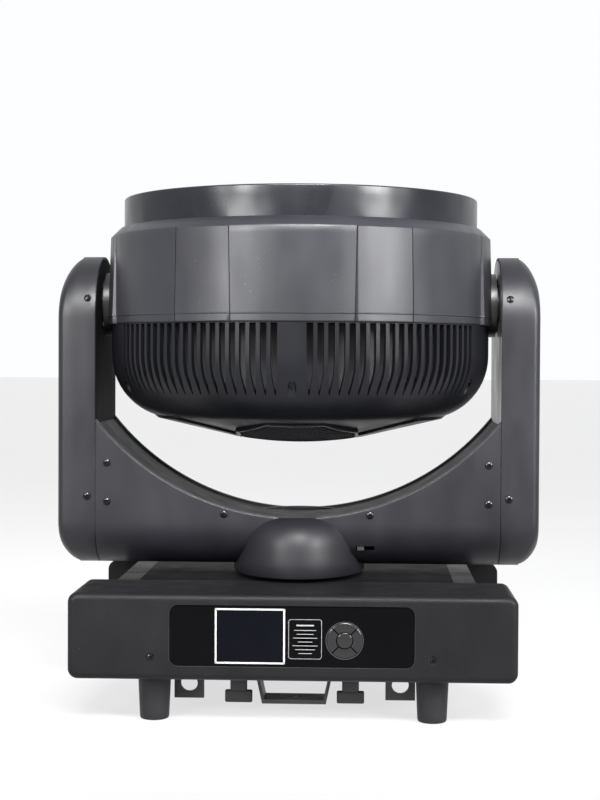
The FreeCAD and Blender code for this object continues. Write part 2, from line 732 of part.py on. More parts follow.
def make_shells():
    inner = "hood_radius - hood_wall"
    hood = turned([(inner, "shell_shoulder - 12"), ("hood_radius", "shell_shoulder - 12"),
                   ("hood_radius", "hood_top"), (inner, "hood_top"), (inner, "glass_low"),
                   (f"{inner} - 5", "glass_low"), (f"{inner} - 5", "glass_low - 3"), (inner, "glass_low - 3")])
    sub_part("hood", rounded(hood, 1.2, rim_at("hood_top")))
    wall = "shell_wall"
    shell = turned([("hood_radius + 0.1", "shell_shoulder - 5"), ("hood_radius + 0.1", "shell_shoulder"),
                    ("shell_radius - 6", "shell_shoulder"), ("shell_radius", "shell_shoulder - 9"),
                    ("shell_radius", "shell_low"), (f"shell_radius - {wall} + 0.5", "shell_low"),
                    (f"shell_radius - {wall}", "shell_low"), (f"shell_radius - {wall}", "shell_shoulder - 12"),
                    (f"shell_radius - {wall} - 4", "shell_shoulder - 5")])
    panels = []
    for low, high in ((18, 34.5), (-34.5, -18), (69.3, 110.7), (-110.7, -69.3), (145.5, 162), (-162, -145.5)):
        profile = [("shell_radius - 1", "shell_low + 0.5"), ("panel_low_radius", "shell_low + 0.5"),
                   ("panel_top_radius", "shell_shoulder - 10"), ("shell_radius - 1", "shell_shoulder - 8")]
        panels.append(turned(profile, high - low, low - 90))
    hub_holes = rod("hub_disc_radius", "X", (-200, 0, "tilt_height"), 400)
    sub_part("head_shell", cut(fuse(shell, *panels), hub_holes))
    glass = turned([(0, "glass_low"), (f"{inner} - 0.2", "glass_low"),
                    (f"{inner} - 0.2", "glass_low + glass_thickness"), (0, "glass_low + glass_thickness")])
    sub_part("front_glass", glass)


def basket_profile(inset):
    """The basket's outside or inside: a wall, a large round and a shallow cone to the grille."""
    slope = 0.23
    cone_at_wall = f"grille_height + {slope}*(basket_radius - grille_radius)"
    body = turned([(0, f"grille_height + {inset}"), ("grille_radius", f"grille_height + {inset}"),
                   (f"basket_radius - {inset}", f"{cone_at_wall} + {inset}*0.8"),
                   (f"basket_radius - {inset}", "basket_top"), (0, "basket_top")])
    doc.recompute()
    corner = size(f"{cone_at_wall} + {inset}*0.8")
    return rounded(body, f"basket_round - {inset}",
                   lambda edge: edge.BoundBox.ZLength < 0.01 and abs(edge.BoundBox.ZMin - corner) < 0.1)


def slot_angles():
    """Azimuths of the vent slots, twenty either side of the front and of the back."""
    first = 4.9
    quarter = [first + number * SIZES["slot_pitch"] for number in range(20)]
    return [side + sign * angle for side in (-90, 90) for sign in (-1, 1) for angle in quarter]


def basket_screw_angles():
    return [side + offset for side in (-90, 90) for offset in (-65, 0, 65)]


def make_basket():
    shell = cut(basket_profile("0"), basket_profile("basket_wall"))
    cutter = Part.makeBox(60, size("slot_width"), size("slot_high - slot_low"),
                          FreeCAD.Vector(150, -size("slot_width") / 2, size("slot_low")))
    slots = computed(Part.makeCompound(around(cutter, slot_angles())))
    ring = size("head_screw_ring")
    boss = Part.makeCylinder(6.5, 50, FreeCAD.Vector(ring, 0, 296))
    trim = common(computed(Part.makeCompound(around(boss, basket_screw_angles()))), basket_profile("0"))
    channel = Part.makeCylinder(4, 40, FreeCAD.Vector(ring, 0, 270))
    channels = computed(Part.makeCompound(around(channel, basket_screw_angles())))
    pilot = Part.makeCylinder(1.6, 60, FreeCAD.Vector(ring, 0, 290))
    pilots = computed(Part.makeCompound(around(pilot, basket_screw_angles())))
    mouth = rod("grille_radius - 3", "Z", (0, 0, "grille_height - 5"), 20)
    hubs = rod("hub_disc_radius", "X", (-200, 0, "tilt_height"), 400)
    sub_part("vent_basket", cut(cut(fuse(cut(shell, slots), trim), channels, mouth, hubs), pilots))
    head = Part.makeCylinder(3.6, 2.2, FreeCAD.Vector(ring, 0, 307.8))
    shank = Part.makeCylinder(1.5, 10, FreeCAD.Vector(ring, 0, 309))
    screws = around(head.fuse(shank), basket_screw_angles())
    sub_part("head_screws", computed(Part.makeCompound(screws)))
    rim = "grille_radius - 3.1"
    grille = turned([(0, "grille_height - grille_sag"), ("grille_radius - 10", "grille_height - 1.5"),
                     (rim, "grille_height"), (rim, "grille_height + 2.2"),
                     ("grille_radius - 10", "grille_height + 0.7"), (0, "grille_height - grille_sag + 2.2")])
    sub_part("rear_grille", grille)


def hex_places(pitch, rings):
    """Centres of a hexagonal array about the Z axis."""
    places = []
    for row in range(-rings, rings + 1):
        for column in range(max(-rings, -row - rings), min(rings, -row + rings) + 1):
            places.append((pitch * (column + row / 2), pitch * row * math.sqrt(3) / 2))
    return places


ZOOM_ANGLES = (90, 210, 330)
ZOOM_RING = 162


def make_optics():
    led = Part.makeCylinder(142, 2, FreeCAD.Vector(0, 0, size("sink_top")))
    chips = []
    for x, y in hex_places(size("lens_pitch"), 3):
        chips.append(Part.makeCylinder(9, 12, FreeCAD.Vector(x, y, size("sink_top") + 1)))
    sub_part("led_board", computed(led.fuse(chips)))
    low = size("lens_plate_low")
    plate = Part.makeCylinder(156, 4, FreeCAD.Vector(0, 0, low))
    ear = Part.makeBox(20, 20, 4, FreeCAD.Vector(149, -10, low))
    screw = Part.makeCylinder(2.5, 33, FreeCAD.Vector(ZOOM_RING, 0, low - 29))
    pieces = around(ear, ZOOM_ANGLES) + around(screw, ZOOM_ANGLES)
    sub_part("zoom_frame", computed(plate.fuse(pieces)))
    disc = Part.makeCylinder(155, 3, FreeCAD.Vector(0, 0, low + 4))
    rise = 6
    reach = size("lens_radius")
    ball = (reach ** 2 + rise ** 2) / (2 * rise)
    slab_of_lens = Part.makeCylinder(reach, rise, FreeCAD.Vector(0, 0, low + 7))
    lens = Part.makeSphere(ball, FreeCAD.Vector(0, 0, low + 7 + rise - ball)).common(slab_of_lens)
    lenses = []
    for x, y in hex_places(size("lens_pitch"), 3):
        copy = lens.copy()
        copy.translate(FreeCAD.Vector(x, y, 0))
        lenses.append(copy)
    sub_part("lens_array", computed(disc.fuse(lenses)))
    motor = Part.makeBox(28, 28, 26, FreeCAD.Vector(ZOOM_RING - 16, -14, size("sink_top")))
    bore = Part.makeCylinder(3, 40, FreeCAD.Vector(ZOOM_RING, 0, size("sink_top") - 1))
    sub_part("zoom_motors", computed(Part.makeCompound(around(motor.cut(bore), ZOOM_ANGLES))))


def make_cooling():
    plate = rod("sink_plate", "Z", (0, 0, "sink_top - 6"), 6)
    base = rod("sink_radius", "Z", (0, 0, "sink_top - 14"), 8)
    fins = []
    count = int(size("sink_radius / fin_pitch"))
    for number in range(-count, count + 1):
        middle = f"{number}*fin_pitch"
        fins.append(box(("-sink_radius", "sink_radius"),
                        (f"{middle} - fin_thickness/2", f"{middle} + fin_thickness/2"),
                        ("sink_low", "sink_top - 14")))
    trimmed = common(fuse(*fins), rod("sink_radius", "Z", (0, 0, "sink_low - 1"), "sink_top - sink_low"))
    pocket = rod("sink_pocket", "Z", (0, 0, "sink_low - 2"), "fan_top + 6 - sink_low")
    sub_part("heat_sink", fuse(plate, base, cut(trimmed, pocket)))
    outer = "fan_radius + 6"
    low = "fan_low"
    ring = cut(rod(outer, "Z", (0, 0, low), "fan_top - fan_low"),
               rod("fan_radius", "Z", (0, 0, f"{low} - 1"), "fan_top - fan_low + 2"))
    struts = box((f"-({outer}) + 2", f"{outer} - 2"), (-3, 3), (low, f"{low} + 4"))
    cross = box((-3, 3), (f"-({outer}) + 2", f"{outer} - 2"), (low, f"{low} + 4"))
    posts = []
    for side in (-1, 1):
        for end in (-1, 1):
            posts.append(rod(3, "Z", (f"{side}*fan_post", f"{end}*fan_post", "fan_top - 2"), 6))
    sub_part("fan_frame", fuse(ring, struts, cross, rod(20, "Z", (0, 0, low), 4), *posts))
    blade_length, blade_thickness, blade_width, blade_tilt, blade_count = 42, 2, 16, 35, 7
    middle = size("fan_low") + 15
    blade = Part.makeBox(blade_length, blade_thickness, blade_width,
                         FreeCAD.Vector(17, -blade_thickness / 2, middle - blade_width / 2))
    blade.rotate(FreeCAD.Vector(0, 0, middle), FreeCAD.Vector(1, 0, 0), blade_tilt)
    hub = Part.makeCylinder(19, 20, FreeCAD.Vector(0, 0, size("fan_low") + 4.5))
    blades = around(blade, [number * 360 / blade_count for number in range(blade_count)])
    sub_part("fan_rotor", computed(hub.fuse(blades)))


def make_trunnions():
    disc_start = "panel_top_radius - 6"
    z = "tilt_height"
    solids = []
    for side, reach in ((-1, 28), (1, 16)):
        low = disc_start if side > 0 else "-arm_inner + 2"
        disc = rod("hub_disc_radius", "X", (low, 0, z), "arm_inner - 2 - (panel_top_radius - 6)")
        start = "arm_inner - 2" if side > 0 else f"-arm_inner + 2 - {reach}"
        shaft = rod("trunnion_radius", "X", (start, 0, z), reach)
        inside = ("164", disc_start) if side > 0 else (f"-({disc_start})", "-164")
        bracket = box(inside, (-22, 22), (f"{z} - 20", "sink_top - 6"))
        solids.append(fuse(disc, shaft, bracket))
    sub_part("trunnions", group(*solids))
    wheel = rod("tilt_pulley_radius", "X", ("tilt_pulley_x", 0, z), 12)
    sub_part("tilt_pulley", cut(wheel, rod("trunnion_radius", "X", ("tilt_pulley_x - 7", 0, z), 30)))


def build():
    make_chassis()
    make_middle_covers()
    make_bezels()
    make_sockets()
    make_control_panel()
    make_buttons()
    make_base_inside()
    make_feet_and_rigging()
    make_yoke_covers()
    make_yoke_frame()
    make_drives()
    make_yoke_small()
    make_shells()
    make_basket()
    make_optics()
    make_cooling()
    make_trunnions()
    doc.recompute()


def check():
    """Stop if any object failed or any sub-part is not a sound solid."""
    for thing in doc.Objects:
        if "Invalid" in thing.State or "Error" in thing.State:
            raise RuntimeError(f"{thing.Name} ({thing.Label}) failed: {thing.State}")
    for thing in SUB_PARTS:
        shape = thing.Shape
        if shape.isNull() or not shape.isValid() or not shape.Solids:
            raise RuntimeError(f"{thing.Label} is not a valid solid")


def write():
    os.makedirs("parts", exist_ok=True)
    for thing in SUB_PARTS:
        thing.Shape.exportStep(f"parts/{thing.Label}.step")


build()
check()
write()
print(len(SUB_PARTS), "sub-parts written")
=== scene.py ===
import math

import bmesh
import bpy
from mathutils import Matrix, Vector


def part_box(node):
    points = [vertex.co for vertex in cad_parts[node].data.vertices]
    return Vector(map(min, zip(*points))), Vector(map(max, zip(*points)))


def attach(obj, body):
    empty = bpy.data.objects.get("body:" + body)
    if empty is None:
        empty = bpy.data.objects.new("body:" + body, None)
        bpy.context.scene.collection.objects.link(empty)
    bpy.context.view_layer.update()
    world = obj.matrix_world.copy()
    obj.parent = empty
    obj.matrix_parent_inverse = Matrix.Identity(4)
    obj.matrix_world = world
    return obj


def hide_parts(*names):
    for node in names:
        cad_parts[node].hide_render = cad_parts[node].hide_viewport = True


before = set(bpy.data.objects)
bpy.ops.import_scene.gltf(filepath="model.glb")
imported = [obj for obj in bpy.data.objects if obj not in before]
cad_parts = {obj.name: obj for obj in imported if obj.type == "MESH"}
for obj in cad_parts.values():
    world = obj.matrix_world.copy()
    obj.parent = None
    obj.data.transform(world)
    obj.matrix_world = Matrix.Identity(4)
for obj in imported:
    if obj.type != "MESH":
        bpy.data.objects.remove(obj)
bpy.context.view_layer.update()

# Moving head wash light. All lengths below are millimetres and are scaled to metres as meshes are made.
# Azimuths are degrees about the pan axis, from the front (-Y), positive towards +X.

MM = 0.001

# Head
HOOD_RADIUS = 175.3
HOOD_TOP = 490.4
HOOD_WALL = 4
SHOULDER = 461.5
BAND_TOP = 452.0
BAND_RADIUS = 188.0
PARTING = 374.6
SHELL_LOW = 367.0
PANELS = ((18.0, 34.5, 0.75), (69.3, 110.7, 1.0), (145.5, 162.0, 0.75))
BASKET_RADIUS = 187.4
BASKET_ROUND = 62
BASKET_ROUND_CENTRE = 337.4
CONE_SLOPE = 0.23
GRILLE_RADIUS = 57
GRILLE_HEIGHT = 258
GRILLE_CORNER = (27, 72)
GRILLE_HALF_LENGTH = 116
GRILLE_PITCH = 6.0
LENS_PITCH = 44
LENS_RISE = 6
LENS_RADIUS = 20.5
TRAY_RADIUS = 155
SLOT_FIRST = 4.9
SLOT_PITCH = 2.95
SLOTS_PER_QUARTER = 20
SLOT_WIDTH = 6.1
SLOT_TOP = 366
SLOT_LOW = 301
SLOT_TAPER = 321
HEAD_SCREW_RING = 179.2
HEAD_SCREW_HEIGHT = 314
RECESS_RADIUS = 4
RECESS_TOP = 316
HEAD_MIDDLE = 360
HEAD_SCREW_AZIMUTHS = (0, 65, 115, 180, -115, -65)

# Yoke
ARM_INNER = 196
ARM_OUTER = 233.3
YOKE_HALF_DEPTH = 63.5
YOKE_LOW = 132
YOKE_CORNER = 43
ARM_ARC_CENTRE = 372
ARC_RADIUS = 250
ARC_CENTRE = 430
WALL = 2.5
BEAM_WALL = 1.8
YOKE_SCREWS = ((204, 392), (204, 200), (184.5, 232.5), (184.5, 195), (70.7, 183.5))
LOCK_SLOT = ((57, 148.9), (75, 153.1))
DOME_HALF_WIDTH = 65.5
DOME_HALF_DEPTH = 92
# Height of each point up the dome, and its share of the half-width and half-depth there
DOME_OUTLINE = ((124.6, 0.992), (125.6, 1), (138, 1), (143, 0.995), (148, 0.988), (154, 0.98), (160, 0.965),
                (165.5, 0.94), (171, 0.897), (175, 0.85), (179, 0.772), (180.6, 0.722), (181, 0.69))
DOME_INSIDE = ((180.4, 0.66), (160, 0.66), (132, 0.96), (124.6, 0.96))

# Base
BASE_HALF_DEPTH = 165
BASE_FLOOR = 41.6
FOOT_PLACE = (128.6, 130)
BEZEL_SCREW_PLACE = (128.2, 62.3)
BEZEL_SCREW_SEAT = 163.2
PANEL_FRONT = -BASE_HALF_DEPTH + 2
PANEL_EDGE = ((-111.8, 54.2), (111.8, 110.9))
SCREEN_FRAME = ((-69.7, 57.3), (-6.0, 107.7))
LABEL_FRAME = ((-2.9, 62.3), (27.3, 98.3))
LABEL_BARS = (16, 20, 15, 22, 13, 23, 18, 12)
LABEL_PITCH = 3.5
KEYS_CENTRE = (48, 79.4)
QUICK_LOCK_PLACE = (53, 95)


# Mesh helpers

def arc(cx, cy, radius, start, end, steps):
    """Points on a circular arc, with angles in degrees."""
    angles = [math.radians(start + (end - start) * step / steps) for step in range(steps + 1)]
    return [(cx + radius * math.cos(angle), cy + radius * math.sin(angle)) for angle in angles]


def polar(radius, azimuth, height):
    """The point at a radius and height on the side that an azimuth faces."""
    angle = math.radians(azimuth)
    return (radius * math.sin(angle), -radius * math.cos(angle), height)


def finish_mesh(obj, sharp=35, recalc=True):
    """Face the normals outwards and smooth all but the sharp edges."""
    work = bmesh.new()
    work.from_mesh(obj.data)
    bmesh.ops.remove_doubles(work, verts=work.verts, dist=1e-6)
    if recalc:
        bmesh.ops.recalc_face_normals(work, faces=work.faces)
    work.to_mesh(obj.data)
    work.free()
    obj.data.shade_smooth()
    obj.data.set_sharp_from_angle(angle=math.radians(sharp))


def make_piece(name, verts, faces, material, sharp=35, recalc=True):
    mesh = bpy.data.meshes.new(name)
    mesh.from_pydata([(x * MM, y * MM, z * MM) for x, y, z in verts], [], faces)
    mesh.materials.append(material)
    obj = bpy.data.objects.new(name, mesh)
    bpy.context.scene.collection.objects.link(obj)
    finish_mesh(obj, sharp, recalc)
    return obj


def join(name, objects):
    """One object from several, keeping their places and materials."""
    work = bmesh.new()
    materials = []
    for obj in objects:
        for slot in obj.material_slots:
            if slot.material not in materials:
                materials.append(slot.material)
    for obj in objects:
        mesh = obj.data.copy()
        mesh.transform(obj.matrix_world)
        order = [materials.index(slot.material) for slot in obj.material_slots]
        for face in mesh.polygons:
            face.material_index = order[face.material_index]
        work.from_mesh(mesh)
        bpy.data.meshes.remove(mesh)
    mesh = bpy.data.meshes.new(name)
    work.to_mesh(mesh)
    work.free()
    for material in materials:
        mesh.materials.append(material)
    for obj in objects:
        bpy.data.objects.remove(obj)
    joined = bpy.data.objects.new(name, mesh)
    bpy.context.scene.collection.objects.link(joined)
    return joined


def mount(obj, body, slot, *nodes):
    """Ride on a body and stand for CAD nodes; the slot argument is not used."""
    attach(obj, body)
    if nodes:
        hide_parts(*nodes)
    return obj


def add_modifier(obj, kind, **settings):
    modifier = obj.modifiers.new(kind.lower(), kind)
    for name, value in settings.items():
        setattr(modifier, name, value)
    return modifier


def ring_faces(columns, rows):
    """The quads of a grid of points that closes on itself both ways."""
    faces = []
    for column in range(columns):
        after = (column + 1) % columns
        for row in range(rows):
            below = (row + 1) % rows
            faces.append((column * rows + row, after * rows + row,
                          after * rows + below, column * rows + below))
    return faces


def loop_faces(loops, count, closed=False):
    """The quads between closed loops of points, each loop joined to the one after it."""
    faces = []
    for loop in range(loops if closed else loops - 1):
        following = (loop + 1) % loops
        for step in range(count):
            after = (step + 1) % count
            faces.append((loop * count + step, loop * count + after, following * count + after,
                          following * count + step))
    return faces


def sheet_faces(columns, rows):
    """The quads of a grid of points with four open edges."""
    corners = [column * rows + row for column in range(columns - 1) for row in range(rows - 1)]
    return [(first, first + 1, first + rows + 1, first + rows) for first in corners]


def lathe(name, profile, azimuths, material):
    """A closed profile of (radius, height) carried round the Z axis."""
    verts = [polar(radius, azimuth, height) for azimuth in azimuths for radius, height in profile]
    return make_piece(name, verts, ring_faces(len(azimuths), len(profile)), material)


def solid_of_revolution(name, profile, material, steps=48, centre=(0, 0)):
    """A turned solid whose profile starts and ends on its own upright axis."""
    verts = []
    faces = []
    rows = len(profile)
    for step in range(steps):
        angle = 2 * math.pi * step / steps
        for radius, height in profile:
            verts.append((centre[0] + radius * math.cos(angle), centre[1] + radius * math.sin(angle), height))
    for step in range(steps):
        after = (step + 1) % steps
        for row in range(rows - 1):
            first, second = step * rows + row, after * rows + row
            faces.append((first, second, second + 1, first + 1))
    return make_piece(name, verts, faces, material)


def even_azimuths(step):
    return [azimuth * step - 180 for azimuth in range(round(360 / step))]


def rounded_box(name, low, high, material, bevel, segments=3):
    """A block with bevelled edges."""
    corners = [(x, y, z) for x in (low[0], high[0]) for y in (low[1], high[1]) for z in (low[2], high[2])]
    faces = [(0, 1, 3, 2), (4, 6, 7, 5), (0, 4, 5, 1), (2, 3, 7, 6), (0, 2, 6, 4), (1, 5, 7, 3)]
    obj = make_piece(name, corners, faces, material)
    work = bmesh.new()
    work.from_mesh(obj.data)
    bmesh.ops.bevel(work, geom=work.edges, offset=bevel * MM, segments=segments, affect="EDGES", profile=0.5)
    work.to_mesh(obj.data)
    work.free()
    obj.data.shade_smooth()
    obj.data.set_sharp_from_angle(angle=math.radians(40))
    return obj


# Materials

def material_base(name):
    material = bpy.data.materials.new(name)
    material.use_nodes = True
    nodes = material.node_tree.nodes
    return material, nodes, material.node_tree.links, nodes["Principled BSDF"]


def noise_node(nodes, links, coordinates, scale, detail=4.0, stretch=None):
    noise = nodes.new("ShaderNodeTexNoise")
    noise.inputs["Scale"].default_value = scale
    noise.inputs["Detail"].default_value = detail
    if stretch:
        mapping = nodes.new("ShaderNodeMapping")
        mapping.inputs["Scale"].default_value = stretch
        links.new(coordinates.outputs["Object"], mapping.inputs["Vector"])
        links.new(mapping.outputs["Vector"], noise.inputs["Vector"])
    else:
        links.new(coordinates.outputs["Object"], noise.inputs["Vector"])
    return noise


def ramp_node(nodes, links, source, stops):
    ramp = nodes.new("ShaderNodeValToRGB")
    ramp.color_ramp.elements[0].position = stops[0][0]
    ramp.color_ramp.elements[0].color = (*stops[0][1], 1)
    ramp.color_ramp.elements[1].position = stops[-1][0]
    ramp.color_ramp.elements[1].color = (*stops[-1][1], 1)
    for position, colour in stops[1:-1]:
        element = ramp.color_ramp.elements.new(position)
        element.color = (*colour, 1)
    links.new(source, ramp.inputs["Fac"])
    return ramp


def grey(value, blue=1.0):
    return (value, value, value * blue)


def surface(name, colour, roughness, grain=900, grain_depth=0.06, cloud=0.25, specks=0.0, waves=0.0,
            metallic=0.0, specular=0.5, roughness_spread=0.08):
    """A moulded or painted surface: cloudy colour, fine grain, dust specks and slow unevenness."""
    material, nodes, links, shader = material_base(name)
    coordinates = nodes.new("ShaderNodeTexCoord")
    broad = noise_node(nodes, links, coordinates, 14, 5)
    darker = tuple(channel * (1 - cloud) for channel in colour)
    lighter = tuple(channel * (1 + cloud) for channel in colour)
    tint = ramp_node(nodes, links, broad.outputs["Fac"], ((0.3, darker), (0.7, lighter)))
    colour_out = tint.outputs["Color"]
    if specks:
        dust = nodes.new("ShaderNodeTexVoronoi")
        dust.inputs["Scale"].default_value = 260
        links.new(coordinates.outputs["Object"], dust.inputs["Vector"])
        spot = ramp_node(nodes, links, dust.outputs["Distance"], ((0.0, grey(1)), (0.09, grey(0))))
        patch = noise_node(nodes, links, coordinates, 30, 2)
        where = ramp_node(nodes, links, patch.outputs["Fac"], ((0.52, grey(0)), (0.66, grey(1))))
        both = nodes.new("ShaderNodeMath")
        both.operation = "MULTIPLY"
        links.new(spot.outputs["Color"], both.inputs[0])
        links.new(where.outputs["Color"], both.inputs[1])
        mix = nodes.new("ShaderNodeMix")
        mix.data_type = "RGBA"
        mix.inputs["B"].default_value = (*grey(specks), 1)
        links.new(both.outputs["Value"], mix.inputs["Factor"])
        links.new(colour_out, mix.inputs["A"])
        colour_out = mix.outputs["Result"]
    links.new(colour_out, shader.inputs["Base Color"])
    uneven = noise_node(nodes, links, coordinates, 45, 6, (1, 1, 0.35))
    low, high = roughness - roughness_spread, roughness + roughness_spread
    rough = ramp_node(nodes, links, uneven.outputs["Fac"], ((0.25, grey(low)), (0.75, grey(high))))
    links.new(rough.outputs["Color"], shader.inputs["Roughness"])
    fine = noise_node(nodes, links, coordinates, grain, 3)
    bump = nodes.new("ShaderNodeBump")
    bump.inputs["Strength"].default_value = grain_depth
    bump.inputs["Distance"].default_value = 0.0004
    links.new(fine.outputs["Fac"], bump.inputs["Height"])
    normal = bump.outputs["Normal"]
    if waves:
        slow = noise_node(nodes, links, coordinates, 11, 2)
        sway = nodes.new("ShaderNodeBump")
        sway.inputs["Strength"].default_value = waves
        sway.inputs["Distance"].default_value = 0.01
        links.new(slow.outputs["Fac"], sway.inputs["Height"])
        links.new(normal, sway.inputs["Normal"])
        normal = sway.outputs["Normal"]
    links.new(normal, shader.inputs["Normal"])
    shader.inputs["Metallic"].default_value = metallic
    shader.inputs["Specular IOR Level"].default_value = specular
    return material


def clear(name, colour, roughness, ior=1.49):
    """A clear plastic or glass with faint smears."""
    material, nodes, links, shader = material_base(name)
    coordinates = nodes.new("ShaderNodeTexCoord")
    smear = noise_node(nodes, links, coordinates, 25, 5)
    stops = ((0.3, grey(roughness * 0.6)), (0.7, grey(roughness * 1.6)))
    rough = ramp_node(nodes, links, smear.outputs["Fac"], stops)
    links.new(rough.outputs["Color"], shader.inputs["Roughness"])
    shader.inputs["Base Color"].default_value = (*colour, 1)
    shader.inputs["Transmission Weight"].default_value = 1.0
    shader.inputs["IOR"].default_value = ior
    return material


MAT = {
    "shell": surface("satin_shell", (0.0115, 0.0118, 0.0155), 0.40, specks=0.35, waves=0.05),
    "basket": surface("basket_plastic", (0.0048, 0.005, 0.0068), 0.38, waves=0.03, specular=0.22),
    "hood": surface("hood_gloss", (0.006, 0.0064, 0.009), 0.29, specular=0.36, grain_depth=0.02, waves=0.5,
                    roughness_spread=0.06),
    "yoke": surface("yoke_plastic", (0.0085, 0.0085, 0.0112), 0.42, specular=0.36, grain=1500,
                    grain_depth=0.18, specks=0.2),
    "base": surface("base_plastic", (0.0058, 0.0057, 0.0067), 0.48, specular=0.18, grain=700,
                    grain_depth=0.3, specks=0.25),
    "grille": surface("grille_wire", grey(0.020, 1.15), 0.35, grain_depth=0.05),
    # The left inner arm plate: a dark, dull finish that paints the shade on that plate.
    "inner": surface("arm_plate_painted_shade", grey(0.012, 1.15), 0.75, grain_depth=0.1, specular=0.05, specks=0.1),
    "dome": surface("dome_plastic", (0.007, 0.007, 0.0092), 0.5, specular=0.34, grain=1500, grain_depth=0.15),
    # A lighter finish that paints a highlight along the control panel's recess edge and round the keys.
    "edge": surface("edge_sheen", (0.03, 0.03, 0.034), 0.3, grain_depth=0.05),
    "deck": surface("deck_plate", (0.004, 0.004, 0.0044), 0.65, specular=0.08, grain=1200,
                    grain_depth=0.15, specks=0.3),
    "strip": surface("side_strip", (0.026, 0.025, 0.0235), 0.5, specks=0.3, specular=0.15),
    # The right inner arm plate: a pale beige finish that paints the backdrop's reflection on that plate; it
    # is the same part as the left plate.
    "plate": surface("arm_plate_painted_reflection", (0.10, 0.095, 0.088), 0.3, grain_depth=0.1, specks=0.5),
    "arc": surface("arc_paint", (0.012, 0.011, 0.0105), 0.55, specular=0.10, grain_depth=0.12, waves=0.08,
                   specks=0.2),
    "panel": surface("panel_gloss", grey(0.0016, 1.25), 0.10, specular=0.06, grain_depth=0.0, cloud=0.1,
                     roughness_spread=0.03),
    "screen": surface("screen_glass", (0.0020, 0.0024, 0.004), 0.06, specular=0.07, grain_depth=0.0,
                      cloud=0.3, roughness_spread=0.02),
    "line": surface("printed_line", grey(0.42), 0.4, grain_depth=0.02, cloud=0.08),
    "print": surface("printed_mark", grey(0.24), 0.45, grain_depth=0.02, cloud=0.15),
    "button": surface("button_plastic", grey(0.008), 0.2, grain_depth=0.03),
    "screw": surface("black_screw", grey(0.004), 0.2, grain_depth=0.03, specular=0.3),
    "rubber": surface("foot_rubber", (0.009, 0.009, 0.011), 0.55, specular=0.3, grain=500, grain_depth=0.2),
    # A near-black finish that paints shade: round the bezel screws and inside the head behind the grille.
    "dark": surface("painted_shade_inside", grey(0.004), 0.7, grain_depth=0.1),
    "powder": surface("powder_coat", grey(0.020), 0.45, grain=1300, grain_depth=0.5),
    "zinc": surface("zinc_plate", (0.42, 0.42, 0.43), 0.32, metallic=1.0, grain_depth=0.1, cloud=0.12),
    "alloy": surface("alloy", (0.55, 0.55, 0.56), 0.34, metallic=1.0, grain_depth=0.1, cloud=0.1),
    "fins": surface("fin_alloy", (0.012, 0.012, 0.014), 0.5, metallic=0.2, grain_depth=0.1, cloud=0.1),
    "belt": surface("belt_rubber", grey(0.012), 0.7, grain_depth=0.3),
    "board": surface("circuit_board", (0.015, 0.06, 0.025), 0.35, grain_depth=0.05),
    "motor": surface("motor_paint", grey(0.012), 0.35, grain_depth=0.1),
    "hub": surface("hub_paint", grey(0.016), 0.35, grain_depth=0.1),
    "nylon": surface("nylon", grey(0.014), 0.4, grain_depth=0.15),
    "glass": clear("front_glass_clear", (0.97, 0.98, 0.98), 0.008, 1.22),
    "lens": clear("lens_acrylic", (0.97, 0.98, 1.0), 0.03),
}

# The finish of each CAD node that keeps its own mesh
KEEP = {
    "strip": ("side_panel_left", "side_panel_right"),
    "base": ("front_bezel", "rear_bezel"),
    "deck": ("deck_cover",),
    # The two inner arm plates take lit and shaded copies of one finish: painted reflection on the right,
    # painted shade on the left.
    "plate": ("arm_plate_right",),
    "inner": ("arm_plate_left",),
    "arc": ("arc_cover",),
    "panel": ("control_panel",),
    "screen": ("display_module",),
    "powder": ("base_chassis", "omega_brackets", "safety_eyes"),
    "zinc": ("pan_hub", "yoke_frame", "pan_bearing", "tilt_bearings", "power_supply"),
    "alloy": ("pan_pulley", "tilt_pulley", "pan_motor_pulley", "tilt_motor_pulley", "zoom_frame"),
    "fins": ("heat_sink",),
    "motor": ("pan_motor", "tilt_motor", "zoom_motors"),
    "belt": ("pan_belt", "tilt_belt"),
    "board": ("led_board",),
    "nylon": ("fan_frame", "fan_rotor", "pan_lock", "power_sockets", "data_sockets"),
    "glass": ("front_glass",),
    "hub": ("trunnions",),
}


def finish_cad_nodes():
    """Give every CAD node that stays its own finish."""
    for key, names in KEEP.items():
        for name in names:
            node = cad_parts[name]
            node.data.materials.clear()
            node.data.materials.append(MAT[key])


# Head

def shell_columns():
    """Each column's azimuth, which way is outward from a panel's edge, and its step across that edge."""
    edges = [(side * edge, side * way) for side in (1, -1)
             for low, high, _ in PANELS for edge, way in ((low, -1), (high, 1))]
    columns = []
    for azimuth in even_azimuths(1.5):
        if all(not -0.4 < (azimuth - edge) * way < 1.6 for edge, way in edges):
            columns.append((azimuth, 0, 0))
    for edge, way in edges:
        columns += [(edge, way, step) for step in range(1, 6)]
    return sorted(columns, key=lambda column: column[0] + column[1] * column[2] * 0.05)


def shell_place(column, radius, height):
    """Azimuth and radius of the band at a column: proud panels, with a wedge and a fine groove beside."""
    azimuth, way, step = column
    down = max(0, min(1, (BAND_TOP - height) / (BAND_TOP - SHELL_LOW)))
    wedge = 0.12 + 0.5 * down
    share = 0
    for low, high, height_share in PANELS:
        if low - 0.01 <= abs(azimuth) <= high + 0.01:
            share = height_share
    offsets = (0, 0, wedge, wedge + 0.04, wedge + 0.2, wedge + 0.25)
    offset, rise = offsets[step], (1, 1, -1, -2, -2, 0)[step]
    if rise > 0:
        return azimuth, max(radius, BAND_RADIUS - 0.8) + share * (0.6 + 2.7 * down) if share else radius
    return azimuth + way * offset, radius + (0, -0.1, -1.3)[-rise]


